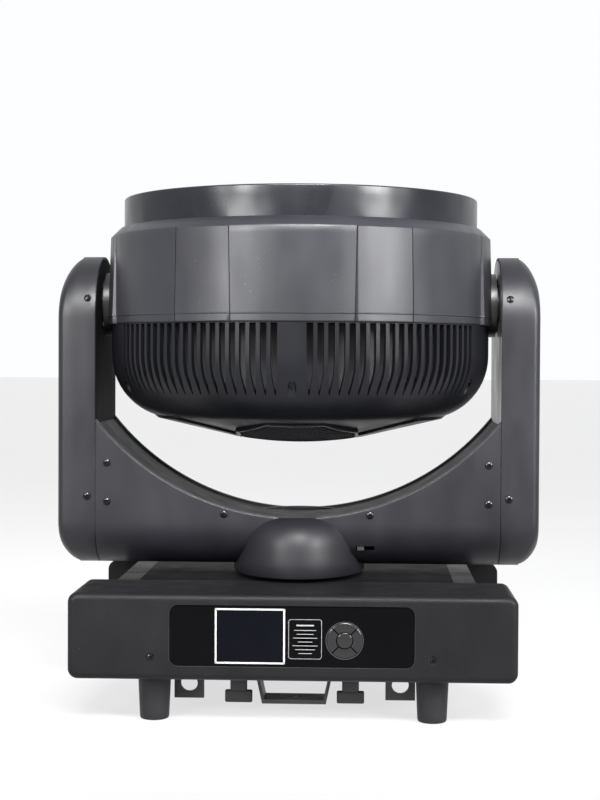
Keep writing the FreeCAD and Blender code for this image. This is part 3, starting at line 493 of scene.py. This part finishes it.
def make_shell():
    """The head's upper shell: a shoulder, a band with raised panels and a lip at the parting."""
    profile = [(175.5, 456), (175.5, 461.0), (176, SHOULDER), (178.6, SHOULDER), (179.4, SHOULDER - 0.4)]
    profile += [(187.0, BAND_TOP + 1.6), (187.6, BAND_TOP + 0.9), (BAND_RADIUS, BAND_TOP)]
    band_start = len(profile) - 1
    profile += [(BAND_RADIUS, BAND_TOP - 6 - step * 9) for step in range(8)]
    profile += [(BAND_RADIUS, PARTING + 0.8), (BAND_RADIUS + 0.35, PARTING + 0.4)]
    profile += [(BAND_RADIUS + 0.35, PARTING)]
    profile += [(BAND_RADIUS - 0.35, PARTING - 0.7), (BAND_RADIUS - 0.35, SHELL_LOW + 1.2)]
    profile += [(BAND_RADIUS - 1.0, SHELL_LOW + 0.2), (186, SHELL_LOW)]
    band_end = len(profile) - 2
    profile += [(184.6, SHELL_LOW), (184.2, SHELL_LOW + 1), (184.2, 448), (176, 455.5)]
    columns = shell_columns()
    verts = []
    for column in columns:
        for row, (radius, height) in enumerate(profile):
            azimuth, out = shell_place(column, radius, height)
            verts.append(polar(out if band_start <= row <= band_end else radius, azimuth, height))
    faces = ring_faces(len(columns), len(profile))
    mount(make_piece("head_shell_skin", verts, faces, MAT["shell"], 24), "head", "shell", "head_shell")


def make_hood():
    """The smooth rim round the aperture, with a ledge inside for the glass."""
    inner = HOOD_RADIUS - HOOD_WALL
    profile = [(inner, SHOULDER - 12), (HOOD_RADIUS, SHOULDER - 12), (HOOD_RADIUS, SHOULDER + 6),
               (HOOD_RADIUS, HOOD_TOP - 9), (HOOD_RADIUS, HOOD_TOP - 1.6)]
    profile += arc(HOOD_RADIUS - 1.6, HOOD_TOP - 1.6, 1.6, 20, 90, 4)
    profile += [(inner + 0.8, HOOD_TOP), (inner, HOOD_TOP - 0.8), (inner, 474.2), (inner, 470)]
    profile += [(inner - 5, 470), (inner - 5, 467), (inner, 467)]
    mount(lathe("hood_skin", profile, even_azimuths(1.5), MAT["hood"]), "head", "hood", "hood")


def slot_centres():
    """Azimuths of the vent slots, in two mirrored quarters at the front and again at the rear."""
    quarter = [SLOT_FIRST + number * SLOT_PITCH for number in range(SLOTS_PER_QUARTER)]
    front = [-azimuth for azimuth in reversed(quarter)] + quarter
    return front + [azimuth + 180 for azimuth in front]


def basket_rows():
    """Radius and height of each row of the basket, from the top down."""
    rows = [(183.0, 376), (183.2, 368.6), (BASKET_RADIUS, SLOT_TOP + 0.6), (BASKET_RADIUS, SLOT_TOP),
            (BASKET_RADIUS, 352), (BASKET_RADIUS, BASKET_ROUND_CENTRE)]
    centre = BASKET_RADIUS - BASKET_ROUND
    end = math.degrees(math.asin((BASKET_ROUND_CENTRE - SLOT_LOW) / BASKET_ROUND))
    rows += arc(centre, BASKET_ROUND_CENTRE, BASKET_ROUND, 0, -end, 6)[1:]
    rows += arc(centre, BASKET_ROUND_CENTRE, BASKET_ROUND, -end, -77, 8)[1:]
    last = rows[-1]
    for radius in (120, 100, 80, GRILLE_RADIUS):
        rows.append((radius, last[1] - CONE_SLOPE * (last[0] - radius)))
    return rows


def slot_half_width(height):
    """Slots narrow towards the bottom, so the ribs between them end in triangles."""
    share = (height - SLOT_LOW) / (SLOT_TAPER - SLOT_LOW)
    return 0.5 + (SLOT_WIDTH / 2 - 0.5) * max(0, min(1, share))


def basket_columns():
    """Each column's azimuth, and which side of a slot it is on: -1, 1, or 0 on the plain strips."""
    centres = slot_centres()
    columns = []
    for number, centre in enumerate(centres):
        columns += [(centre, -1), (centre, 1)]
        following = centres[(number + 1) % len(centres)] + (360 if number + 1 == len(centres) else 0)
        gap = following - centre
        if gap > SLOT_PITCH * 1.5:
            plain = int(gap / 2.5)
            columns += [(centre + gap * (step + 1) / (plain + 1), 0) for step in range(plain)]
    return columns


def make_basket():
    """The slotted lower half of the head, closed underneath by a shallow cone."""
    rows = basket_rows()
    columns = basket_columns()
    verts = []
    for centre, side in columns:
        for radius, height in rows:
            lean = math.degrees(side * slot_half_width(height) / radius)
            verts.append(polar(radius, centre + lean, height))
    count = len(rows)
    faces = []
    for column, (_, side) in enumerate(columns):
        after = (column + 1) % len(columns)
        for row in range(count - 1):
            in_slot = side == -1 and SLOT_LOW + 0.1 < rows[row][1] <= SLOT_TOP
            if not in_slot:
                first, second = column * count + row, after * count + row
                faces.append((first, second, second + 1, first + 1))
    ring = [column * count + count - 1 for column in range(len(columns))]
    inner = len(verts)
    for radius, height in ((GRILLE_RADIUS - 1, 261.5), (20, 258)):
        verts += [polar(radius, centre, height) for centre, _ in columns]
    for step in range(len(columns)):
        after = (step + 1) % len(columns)
        faces.append((ring[step], ring[after], inner + after, inner + step))
        faces.append((inner + step, inner + after, inner + len(columns) + after, inner + len(columns) + step))
    faces.append(tuple(inner + len(columns) + step for step in range(len(columns))))
    basket = make_piece("basket_skin", verts, faces, MAT["basket"], sharp=40, recalc=False)
    face_away(basket, HEAD_MIDDLE)
    add_modifier(basket, "SOLIDIFY", thickness=4.2 * MM, offset=-1, use_even_offset=False)
    carve(basket, [channel_cutter(azimuth) for azimuth in HEAD_SCREW_AZIMUTHS])
    mount(basket, "head", "shell", "vent_basket")
    make_belly_plates()


def face_away(obj, height):
    """Turn an open skin's faces away from the point at a height on the pan axis."""
    work = bmesh.new()
    work.from_mesh(obj.data)
    bmesh.ops.recalc_face_normals(work, faces=work.faces)
    middle = Vector((0, 0, height * MM))
    outward = sum((face.calc_center_median() - middle).dot(face.normal) * face.calc_area()
                  for face in work.faces)
    if outward < 0:
        bmesh.ops.reverse_faces(work, faces=work.faces)
    work.to_mesh(obj.data)
    work.free()


def channel_cutter(azimuth):
    """An upright drill that leaves a teardrop where it breaks the basket's curved flank."""
    x, y, _ = polar(HEAD_SCREW_RING, azimuth, 0)
    profile = [(0, 270), (RECESS_RADIUS, 270), (RECESS_RADIUS, RECESS_TOP), (0, RECESS_TOP)]
    return solid_of_revolution("cutter", profile, MAT["dark"], 24, (x, y))


def carve(obj, cutters):
    """Cut tools out of a piece, with its other modifiers made real first."""
    tool = join("tool", cutters)
    add_modifier(obj, "BOOLEAN", operation="DIFFERENCE", solver="EXACT", object=tool)
    bpy.context.view_layer.update()
    depsgraph = bpy.context.evaluated_depsgraph_get()
    mesh = bpy.data.meshes.new_from_object(obj.evaluated_get(depsgraph))
    obj.modifiers.clear()
    obj.data = mesh
    bpy.data.objects.remove(tool)
    obj.data.set_sharp_from_angle(angle=math.radians(40))


def belly_height(radius):
    """Height of the grille's surface, a shallow bowl just below the basket's cone."""
    return GRILLE_HEIGHT - 5.4 + 0.0014 * radius ** 2


def make_belly_plates():
    """Two raised plates under the basket, one each side of the grille."""
    plates = []
    for middle in (90, -90):
        verts = []
        radii = (60, 64, 90, 118, 142, 146)
        across = [middle + step * 4 for step in range(-10, 11)]
        for azimuth in across:
            for number, radius in enumerate(radii):
                cone = GRILLE_HEIGHT + CONE_SLOPE * (radius - GRILLE_RADIUS) - 1.6
                edge = number in (0, len(radii) - 1) or azimuth in (across[0], across[-1])
                rise = 2.2 if edge else -1.2 + 0.9 * radius / radii[-1]
                verts.append(polar(radius, azimuth, cone + rise))
        faces = sheet_faces(len(across), len(radii))
        plates.append(make_piece("belly_plate", verts, faces, MAT["basket"], sharp=30, recalc=False))
    obj = join("belly_plates", plates)
    face_away(obj, HEAD_MIDDLE)
    add_modifier(obj, "SOLIDIFY", thickness=1.5 * MM, offset=-1)
    obj.data.shade_smooth()
    obj.data.set_sharp_from_angle(angle=math.radians(25))
    mount(obj, "head", "shell")


def grille_outline(scale, drop):
    """A long octagon round the grille, following the belly."""
    near, side = GRILLE_CORNER
    right = [(near, -GRILLE_HALF_LENGTH), (GRILLE_RADIUS, -side),
             (GRILLE_RADIUS, side), (near, GRILLE_HALF_LENGTH)]
    corners = right + [(-x, -y) for x, y in right]
    points = []
    for number, (x, y) in enumerate(corners):
        next_x, next_y = corners[(number + 1) % len(corners)]
        for step in range(6):
            px, py = x + (next_x - x) * step / 6, y + (next_y - y) * step / 6
            points.append((px * scale, py * scale, belly_height(math.hypot(px, py)) + drop))
    return points


def in_grille(x, y, inset):
    """Whether a point is inside the octagon by at least the inset."""
    x, y = abs(x) + inset, abs(y) + inset
    near, side = GRILLE_CORNER
    corner = (x - near) / (GRILLE_RADIUS - near) + (y - side) / (GRILLE_HALF_LENGTH - side)
    return x < GRILLE_RADIUS and y < GRILLE_HALF_LENGTH and corner < 1


def make_grille_mesh():
    """A honeycomb of thin wires."""
    verts, faces, index = [], [], {}

    def corner(x, y):
        key = (round(x * 20), round(y * 20))
        if key not in index:
            index[key] = len(verts)
            verts.append((x, y, belly_height(math.hypot(x, y)) - 0.4))
        return index[key]
    rows = int(GRILLE_HALF_LENGTH / (GRILLE_PITCH * 0.75)) + 1
    for row in range(-rows, rows + 1):
        for column in range(-12, 13):
            x = (column + 0.5 * (row % 2)) * GRILLE_PITCH * math.sqrt(3) / 2
            y = row * GRILLE_PITCH * 0.75
            if not in_grille(x, y, 2.5):
                continue
            cell = []
            for side in range(6):
                angle = math.radians(60 * side + 30)
                cell.append(corner(x + GRILLE_PITCH / 2 * math.cos(angle),
                                   y + GRILLE_PITCH / 2 * math.sin(angle)))
            faces.append(tuple(cell))
    mesh = make_piece("grille_mesh", verts, faces, MAT["grille"])
    add_modifier(mesh, "WIREFRAME", thickness=1.3 * MM, use_even_offset=False)
    mount(mesh, "head", "shell", "rear_grille")


def make_grille():
    """The honeycomb in a moulded rim, over a dark sheet that paints the shade inside the head."""
    make_grille_mesh()
    verts = []
    section = ((1.03, 2.2), (1.032, -0.7), (1.01, -1.3), (0.975, -0.8), (0.965, 2.2))
    for scale, drop in section:
        verts += grille_outline(scale, drop)
    count = len(verts) // len(section)
    faces = loop_faces(len(section), count, closed=True)
    mount(make_piece("grille_rim", verts, faces, MAT["basket"]), "head", "shell")
    # A dark sheet just inside the wires paints the shade of the head's inside.
    verts = grille_outline(0.99, 1.4) + [(0, 0, belly_height(0) + 1.4)]
    faces = [(step, (step + 1) % count, count) for step in range(count)]
    shade_sheet = make_piece("grille_shade_sheet", verts, faces, MAT["dark"])
    add_modifier(shade_sheet, "SOLIDIFY", thickness=0.4 * MM, offset=0)
    mount(shade_sheet, "head", "shell")


def screw_head(radius, height, material):
    """A domed screw head with a cross recess, on the XY plane with its top along +Z."""
    verts = []
    rings = [(radius, 0.0), (radius, height * 0.35), (radius * 0.88, height * 0.72)]
    rings += [(radius * 0.6, height * 0.95), (radius * 0.42, height), (radius * 0.2, height)]
    steps = 32
    for number, (ring, level) in enumerate(rings):
        for step in range(steps):
            angle = 2 * math.pi * step / steps
            from_arm = min(step % 8, 8 - step % 8)
            in_cross = number >= 4 and from_arm <= (1 if number == 4 else 3)
            sunk = level - (height * 0.5 if in_cross else 0)
            verts.append((ring * math.cos(angle), ring * math.sin(angle), sunk))
    verts.append((0, 0, height * 0.4))
    faces = loop_faces(len(rings), steps)
    last = (len(rings) - 1) * steps
    faces += [(last + step, last + (step + 1) % steps, len(verts) - 1) for step in range(steps)]
    faces.append(tuple(reversed(range(steps))))
    return make_piece("screw", verts, faces, material, sharp=30)


def placed(obj, where, facing, spin=0.0):
    """Put a piece made along +Z at a point, facing a direction."""
    turn = Vector(facing).to_track_quat("Z", "Y").to_matrix().to_4x4()
    obj.data.transform(Matrix.Translation(Vector(where) * MM) @ turn @ Matrix.Rotation(spin, 4, "Z"))
    return obj


def make_head_screws():
    heads = []
    for azimuth in HEAD_SCREW_AZIMUTHS:
        head = screw_head(3.5, 2.2, MAT["screw"])
        heads.append(placed(head, polar(HEAD_SCREW_RING, azimuth, HEAD_SCREW_HEIGHT), (0, 0, -1), azimuth))
    mount(join("head_screw_heads", heads), "head", "screw", "head_screws")


def make_lenses():
    """A tray of domed lenses in a hexagonal array."""
    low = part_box("lens_array")[0].z / MM
    dome = [(LENS_RADIUS * math.sin(math.radians(turn)), low + 3 + LENS_RISE * math.cos(math.radians(turn)))
            for turn in (0, 12, 24, 36, 48, 60, 72, 84, 90)]
    profile = dome + [(LENS_RADIUS, low + 1.5), (0, low + 1.5)]
    lenses = []
    for row in range(-3, 4):
        for column in range(max(-3, -row - 3), min(3, -row + 3) + 1):
            centre = (LENS_PITCH * (column + row / 2), LENS_PITCH * row * math.sqrt(3) / 2)
            lenses.append(solid_of_revolution("lens", profile, MAT["lens"], 40, centre))
    mount(join("lens_domes", lenses), "zoom_carriage", "lens")
    edge = [(TRAY_RADIUS - 0.6, low), (TRAY_RADIUS, low + 0.6),
            (TRAY_RADIUS, low + 2.4), (TRAY_RADIUS - 0.6, low + 3)]
    tray = solid_of_revolution("lens_tray", [(0, low)] + edge + [(0, low + 3)], MAT["basket"], 120)
    mount(tray, "zoom_carriage", "lens", "lens_array")


# Yoke

def arm_ring():
    """Outline of an arm in Y and Z with its outward directions: a round top and rounded lower corners."""
    flat = YOKE_HALF_DEPTH - YOKE_CORNER
    low = YOKE_LOW + YOKE_CORNER
    levels = (340, 300, 260, 220, low + 12)

    def turn(y, z, radius, start, sweep, steps):
        angles = [start + sweep * step / steps for step in range(steps + 1)]
        return [(y + math.cos(angle) * radius, z + math.sin(angle) * radius, math.cos(angle), math.sin(angle))
                for angle in angles]
    points = turn(0, ARM_ARC_CENTRE, YOKE_HALF_DEPTH, 0, math.pi, 32)
    points += [(-YOKE_HALF_DEPTH, level, -1, 0) for level in levels]
    points += turn(-flat, low, YOKE_CORNER, math.pi, math.pi / 2, 12)
    points += turn(flat, low, YOKE_CORNER, -math.pi / 2, math.pi / 2, 12)
    return points + [(YOKE_HALF_DEPTH, level, 1, 0) for level in reversed(levels)]


def make_arm_cover(side):
    """side is -1 for the left arm and 1 for the right one."""
    ring = arm_ring()
    count = len(ring)
    walls = [(ARM_INNER, 0.6), (ARM_INNER + 0.3, 0.15), (ARM_INNER + 1, 0.0), (206, 0.0), (216, 0.0)]
    verts = [(side * x, y - ny * inset, z - nz * inset) for x, inset in walls for y, z, ny, nz in ring]
    turns = 10
    for step in range(1, turns + 1):
        angle = math.pi / 2 * step / turns
        for y, z, ny, nz in ring:
            up, down = max(0, nz) ** 2, max(0, -nz) ** 2
            reach = 8 + 14 * (up + down)
            inset = 8 + 34 * up + 22 * down
            x = ARM_OUTER - reach * (1 - math.sin(angle))
            verts.append((side * x, y - ny * inset * (1 - math.cos(angle)),
                          z - nz * inset * (1 - math.cos(angle))))
    faces = loop_faces(len(verts) // count, count)
    start, face_loop = len(verts) - count, len(verts)
    for y, z, _, _ in ring:
        spine = max(200, min(ARM_ARC_CENTRE, z))
        verts.append((side * ARM_OUTER, y * 0.2, spine + (z - spine) * 0.2))
    for step in range(count):
        after = (step + 1) % count
        faces.append((start + step, start + after, face_loop + after, face_loop + step))
    faces.append(tuple(range(face_loop, face_loop + count)))
    name = "right" if side > 0 else "left"
    cover = make_piece(f"arm_cover_{name}_skin", verts, faces, MAT["yoke"], sharp=50)
    add_modifier(cover, "SOLIDIFY", thickness=WALL * MM, offset=-1)
    mount(cover, "yoke", "shell", f"arm_cover_{name}")


def beam_section(x):
    """The crossbeam cover's section in Y and Z at an X: a grooved lip on the arc, a face and a round foot."""
    def drop(depth):
        return ARC_CENTRE - math.sqrt((ARC_RADIUS + depth) ** 2 - x ** 2)
    top, start = drop(0), drop(1.6)
    flat = YOKE_HALF_DEPTH - YOKE_CORNER
    low = YOKE_LOW + YOKE_CORNER
    lip = ((8, drop(2.6)), (8, drop(0.3)), (7.6, top), (3, top), (2.7, drop(0.35)), (2.1, drop(0.35)),
           (1.8, top), (0.7, top), (0.1, drop(0.6)))
    section = [(YOKE_HALF_DEPTH - back, height) for back, height in lip]
    bottom = low + 0.2
    section += [(YOKE_HALF_DEPTH, start + (bottom - start) * step / 5) for step in range(6)]
    section += arc(flat, low, YOKE_CORNER, -6, -90, 14)
    return section + [(flat - 8, YOKE_LOW), (0.15, YOKE_LOW)]


def make_crossbeam_cover(side):
    """side is -1 for the front cover and 1 for the rear one."""
    columns = [x * ARM_INNER / 28 for x in range(-28, 29)]
    columns[0], columns[-1] = -ARM_INNER + 0.25, ARM_INNER - 0.25
    verts = [(x, side * y, z) for x in columns for y, z in beam_section(x)]
    faces = sheet_faces(len(columns), len(verts) // len(columns))
    name = "front" if side < 0 else "rear"
    cover = make_piece(f"crossbeam_{name}_skin", verts, faces, MAT["yoke"], sharp=40, recalc=False)
    face_away(cover, 160)
    add_modifier(cover, "SOLIDIFY", thickness=BEAM_WALL * MM, offset=-1)
    cutters = [solid_of_revolution("cutter", [(0, 110), (56, 110), (56, 140), (0, 140)], MAT["dark"], 48)]
    if side < 0:
        (x0, z0), (x1, z1) = LOCK_SLOT
        cutters.append(rounded_box("slot", (x0, -75, z0), (x1, -40, z1), MAT["dark"], 0.8))
    carve(cover, cutters)
    mount(cover, "yoke", "shell", f"crossbeam_cover_{name}")


def make_dome():
    """An oval cover over the pan axis that bulges out of the crossbeam's front and back."""
    outline = DOME_OUTLINE + DOME_INSIDE
    steps = 180
    verts = []
    for step in range(steps):
        angle = 2 * math.pi * step / steps
        for height, share in outline:
            verts.append((DOME_HALF_WIDTH * share * math.cos(angle),
                          DOME_HALF_DEPTH * share * math.sin(angle), height))
    dome = make_piece("pan_dome_skin", verts, ring_faces(steps, len(outline)), MAT["dome"], 50)
    mount(dome, "yoke", "shell", "pan_dome")


def yoke_screw_places():
    """X, Z and lean of each screw on the yoke's front; only those on an arm's round top lean back."""
    places = []
    for x, z in YOKE_SCREWS:
        lean = math.asin(max(0, z - ARM_ARC_CENTRE) / YOKE_HALF_DEPTH)
        places += [(-x, z, lean), (x, z, lean)]
    return places


def make_yoke_screws():
    heads = []
    for number, (x, z, lean) in enumerate(yoke_screw_places()):
        for side in (-1, 1):
            head = screw_head(3.6, 2.1, MAT["screw"])
            depth = YOKE_HALF_DEPTH * math.cos(lean)
            facing = (0, side * math.cos(lean), math.sin(lean))
            heads.append(placed(head, (x, side * (depth - 0.1), z), facing, number * 0.7))
    mount(join("yoke_screw_heads", heads), "yoke", "screw", "yoke_screws")


# Base

def make_feet():
    profile = [(0, 0), (11.6, 0), (12.8, 0.5), (13.5, 1.8), (13.7, 5), (15.1, 36), (15.5, 38.5),
               (15.5, BASE_FLOOR), (0, BASE_FLOOR)]
    feet = []
    for x in (-FOOT_PLACE[0], FOOT_PLACE[0]):
        for y in (-FOOT_PLACE[1], FOOT_PLACE[1]):
            feet.append(solid_of_revolution("foot", profile, MAT["rubber"], 48, (x, y)))
    mount(join("feet_skin", feet), "base", "rubber", "rubber_feet")


def make_bezel_screws():
    """A screw head at each lower corner of both bezels, in a dark ring that paints the shade of its recess.
    """
    screw_x, z = BEZEL_SCREW_PLACE
    ring = [(3.2, 0), (3.2, 0.4), (4.45, 0.4), (4.45, 0), (3.2, 0)]
    heads, shade_rings = [], []
    for side in (-1, 1):
        for x in (-screw_x, screw_x):
            head = screw_head(3.4, 1.5, MAT["screw"])
            heads.append(placed(head, (x, side * BEZEL_SCREW_SEAT, z), (0, side, 0), x))
            # A dark ring round each head paints the shade in the screw's recess.
            shade_ring = solid_of_revolution("shade_ring", ring, MAT["dark"], 40)
            shade_rings.append(placed(shade_ring, (x, side * (BEZEL_SCREW_SEAT - 0.15), z), (0, side, 0)))
    mount(join("bezel_screw_heads", heads), "base", "screw", "bezel_screws")
    mount(join("bezel_screw_shade_rings", shade_rings), "base", "screw")


def make_arc_key(name, middle):
    """A key on a quarter of a ring that slopes down towards its centre."""
    x, z = KEYS_CENTRE
    section = [(7.9, -0.1), (7.9, 0.35), (8.3, 0.5), (11, 0.62), (14, 0.78), (15.4, 0.72), (16.0, 0.3),
               (16.0, -0.1)]
    verts, faces = [], []
    steps = 18
    for step in range(steps + 1):
        for radius, rise in section:
            half = math.radians(45) - 0.55 / radius
            angle = math.radians(middle) - half + 2 * half * step / steps
            verts.append((x + radius * math.cos(angle), PANEL_FRONT - rise, z + radius * math.sin(angle)))
    rows = len(section)
    for step in range(steps):
        for row in range(rows):
            first, after = step * rows + row, step * rows + (row + 1) % rows
            faces.append((first, first + rows, after + rows, after))
    faces.append(tuple(range(rows)))
    faces.append(tuple(steps * rows + row for row in range(rows)))
    key = make_piece(f"key_{name}", verts, faces, MAT["button"], 40)
    mount(key, f"{name}_key", "button", f"button_{name}")


def make_buttons():
    """Four arc keys round a domed centre key, in a ring coloured lighter to paint a highlight."""
    x, z = KEYS_CENTRE
    for name, middle in (("right", 0), ("up", 90), ("left", 180), ("down", 270)):
        make_arc_key(name, middle)
    profile = [(0, -0.1), (6.9, -0.1), (6.9, 0.3), (6.5, 0.55), (5.2, 0.68), (3, 0.76), (0, 0.79)]
    dome = solid_of_revolution("key_enter", profile, MAT["button"], 40)
    mount(placed(dome, (x, PANEL_FRONT, z), (0, -1, 0)), "enter_key", "button", "button_enter")
    # The ring round the keys takes the lighter edge finish, a painted highlight.
    profile = [(16.55, 0), (16.55, 0.25), (17.2, 0.25), (17.2, 0), (16.55, 0)]
    ring = solid_of_revolution("pad_ring", profile, MAT["edge"], 60)
    mount(placed(ring, (x, PANEL_FRONT, z), (0, -1, 0)), "base", "panel")


def label_outline(name, place, depth, width, corner, material):
    """A thin outline with rounded corners, standing a hair off the panel; it draws printed lines, and the
    painted highlight along the panel's recess edge.
    """
    (x0, z0), (x1, z1) = place
    path = []
    for cx, cz, start in ((x1 - corner, z1 - corner, 0), (x0 + corner, z1 - corner, 90),
                          (x0 + corner, z0 + corner, 180), (x1 - corner, z0 + corner, 270)):
        for step in range(7):
            angle = math.radians(start + 90 * step / 6)
            path.append((cx, cz, math.cos(angle), math.sin(angle)))
    section = ((0, 0), (0, 0.12), (width, 0.12), (width, 0))
    verts = [(cx + nx * (corner - inset), depth - rise, cz + nz * (corner - inset))
             for cx, cz, nx, nz in path for inset, rise in section]
    outline = make_piece(name, verts, ring_faces(len(path), len(section)), material, 40)
    mount(outline, "base", "panel")


def make_panel_print():
    """The panel's light printed lines, a painted highlight along its recess edge, and bars in place of the
    label's words.
    """
    label_outline("screen_frame", SCREEN_FRAME, PANEL_FRONT - 0.02, 1.6, 0.5, MAT["line"])
    label_outline("label_frame", LABEL_FRAME, PANEL_FRONT, 0.4, 2.2, MAT["print"])
    middle = (LABEL_FRAME[0][0] + LABEL_FRAME[1][0]) / 2
    bars = []
    for number, width in enumerate(LABEL_BARS):
        z = 92.8 - number * LABEL_PITCH - (0 if number == 0 else 1.0)
        thick = 1.3 if number == 0 else 0.55
        low = (middle - width / 2, PANEL_FRONT - 0.1, z - thick / 2)
        high = (middle + width / 2, PANEL_FRONT + 0.1, z + thick / 2)
        bars.append(rounded_box("bar", low, high, MAT["print"], 0.05, 1))
    mount(join("label_bars", bars), "base", "panel")
    # A painted highlight along the edge of the panel's recess.
    label_outline("panel_edge", PANEL_EDGE, PANEL_FRONT + 0.05, 0.5, 8.5, MAT["edge"])


def make_quick_lock(row, name, x, y):
    """A quarter-turn fastener: a turned collar on a stem, with a wing along one axis."""
    node = f"quick_lock_{row}_{name}"
    low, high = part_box(node)
    along_x = (high.x - low.x) > (high.y - low.y) + 0.004
    bottom = low.z / MM
    collar_top = BASE_FLOOR - 4.3
    collar = [(0, 31), (6.6, 31), (7.4, 31.8), (8.5, 33.2), (8.5, collar_top - 0.8), (7.8, collar_top),
              (5, collar_top), (5, high.z / MM), (0, high.z / MM)]
    parts = [solid_of_revolution("collar", collar, MAT["nylon"], 36, (x, y))]
    reach = (high.x - low.x if along_x else high.y - low.y) / 2 / MM
    for part, length, width, start, end, bevel, segments in (
            ("wing", reach, 2.4, bottom, bottom + 12, 1.6, 4), ("stem", 8, 2.2, bottom + 9, 32, 1.2, 3)):
        dx, dy = (length, width) if along_x else (width, length)
        corners = (x - dx, y - dy, start), (x + dx, y + dy, end)
        parts.append(rounded_box(part, *corners, MAT["nylon"], bevel, segments))
    mount(join(f"wing_{row}_{name}", parts), f"lock_{row}_{name}", "nylon", node)


def make_quick_locks():
    x, y = QUICK_LOCK_PLACE
    for row, lock_y in (("front", -y), ("rear", y)):
        for name, lock_x in (("left", -x), ("right", x)):
            make_quick_lock(row, name, lock_x, lock_y)


# Stage

def make_stage():
    """A pale floor that glows a little, like a lit studio sweep."""
    floor = bpy.data.meshes.new("floor")
    floor.from_pydata([(-30, -30, 0), (30, -30, 0), (30, 30, 0), (-30, 30, 0)], [], [(0, 1, 2, 3)])
    stage = bpy.data.objects.new("floor", floor)
    bpy.context.scene.collection.objects.link(stage)
    material, nodes, links, shader = material_base("pale_floor")
    coordinates = nodes.new("ShaderNodeTexCoord")
    tone = noise_node(nodes, links, coordinates, 3, 3)
    ramp = ramp_node(nodes, links, tone.outputs["Fac"], ((0.3, grey(0.17)), (0.7, grey(0.18))))
    links.new(ramp.outputs["Color"], shader.inputs["Base Color"])
    shader.inputs["Emission Color"].default_value = (1, 1, 1, 1)
    shader.inputs["Emission Strength"].default_value = 0.68
    shader.inputs["Roughness"].default_value = 0.7
    shader.inputs["Specular IOR Level"].default_value = 0.1
    floor.materials.append(material)


def area_light(name, azimuth, reach, height, aim, width, tall, power, spread):
    """A soft box standing at an azimuth about the pan axis, in metres."""
    data = bpy.data.lights.new(name, "AREA")
    data.shape = "RECTANGLE"
    data.size, data.size_y = width, tall
    data.energy = power
    data.spread = math.radians(spread)
    light = bpy.data.objects.new(name, data)
    bpy.context.scene.collection.objects.link(light)
    light.location = Vector(polar(reach, azimuth, height))
    light.rotation_mode = "QUATERNION"
    light.rotation_quaternion = (Vector((0, 0, aim)) - light.location).to_track_quat("-Z", "Y")


def make_world():
    """A pale backdrop behind the object that darkens towards the front of the studio."""
    world = bpy.data.worlds.new("studio")
    bpy.context.scene.world = world
    world.use_nodes = True
    nodes, links = world.node_tree.nodes, world.node_tree.links
    coordinates = nodes.new("ShaderNodeTexCoord")
    split = nodes.new("ShaderNodeSeparateXYZ")
    links.new(coordinates.outputs["Generated"], split.inputs["Vector"])
    spread = nodes.new("ShaderNodeMapRange")
    spread.interpolation_type = "SMOOTHSTEP"
    spread.inputs["From Min"].default_value = -0.1
    spread.inputs["From Max"].default_value = 0.9
    spread.inputs["To Min"].default_value = 0.6
    spread.inputs["To Max"].default_value = 1.0
    links.new(split.outputs["Y"], spread.inputs["Value"])
    background = nodes["Background"]
    background.inputs["Color"].default_value = (0.98, 0.99, 1.0, 1)
    links.new(spread.outputs["Result"], background.inputs["Strength"])


def make_light():
    make_world()
    area_light("key", 50, 1.9, 1.15, 0.50, 0.8, 1.3, 7.5, 42)
    area_light("fill", -34, 1.9, 1.05, 0.50, 0.5, 1.1, 3.6, 42)
    area_light("front", 6, 1.7, 1.75, 0.44, 1.4, 0.5, 11, 45)
    bpy.context.scene.view_settings.view_transform = "Standard"


def make_camera():
    """The camera stands in front of the control panel, a little to the right and below the tilt axis."""
    distance = 1.605
    orbit = math.radians(2.3)
    height = 0.331
    data = bpy.data.cameras.new("camera")
    data.sensor_width = 36
    data.sensor_fit = "AUTO"
    data.lens = 72
    camera = bpy.data.objects.new("camera", data)
    bpy.context.scene.collection.objects.link(camera)
    camera.location = (distance * math.sin(orbit), -distance * math.cos(orbit), height)
    pitch = math.radians(90 - 1.36)
    roll = math.radians(0.28)
    camera.matrix_world = (Matrix.Translation(camera.location) @ Matrix.Rotation(orbit, 4, "Z")
                           @ Matrix.Rotation(pitch, 4, "X") @ Matrix.Rotation(roll, 4, "Z"))
    bpy.context.scene.camera = camera


finish_cad_nodes()
make_shell()
make_hood()
make_basket()
make_grille()
make_head_screws()
make_lenses()
for arm_side in (-1, 1):
    make_arm_cover(arm_side)
for beam_side in (-1, 1):
    make_crossbeam_cover(beam_side)
make_dome()
make_yoke_screws()
make_feet()
make_bezel_screws()
make_buttons()
make_panel_print()
make_quick_locks()
make_stage()
make_light()
make_camera()
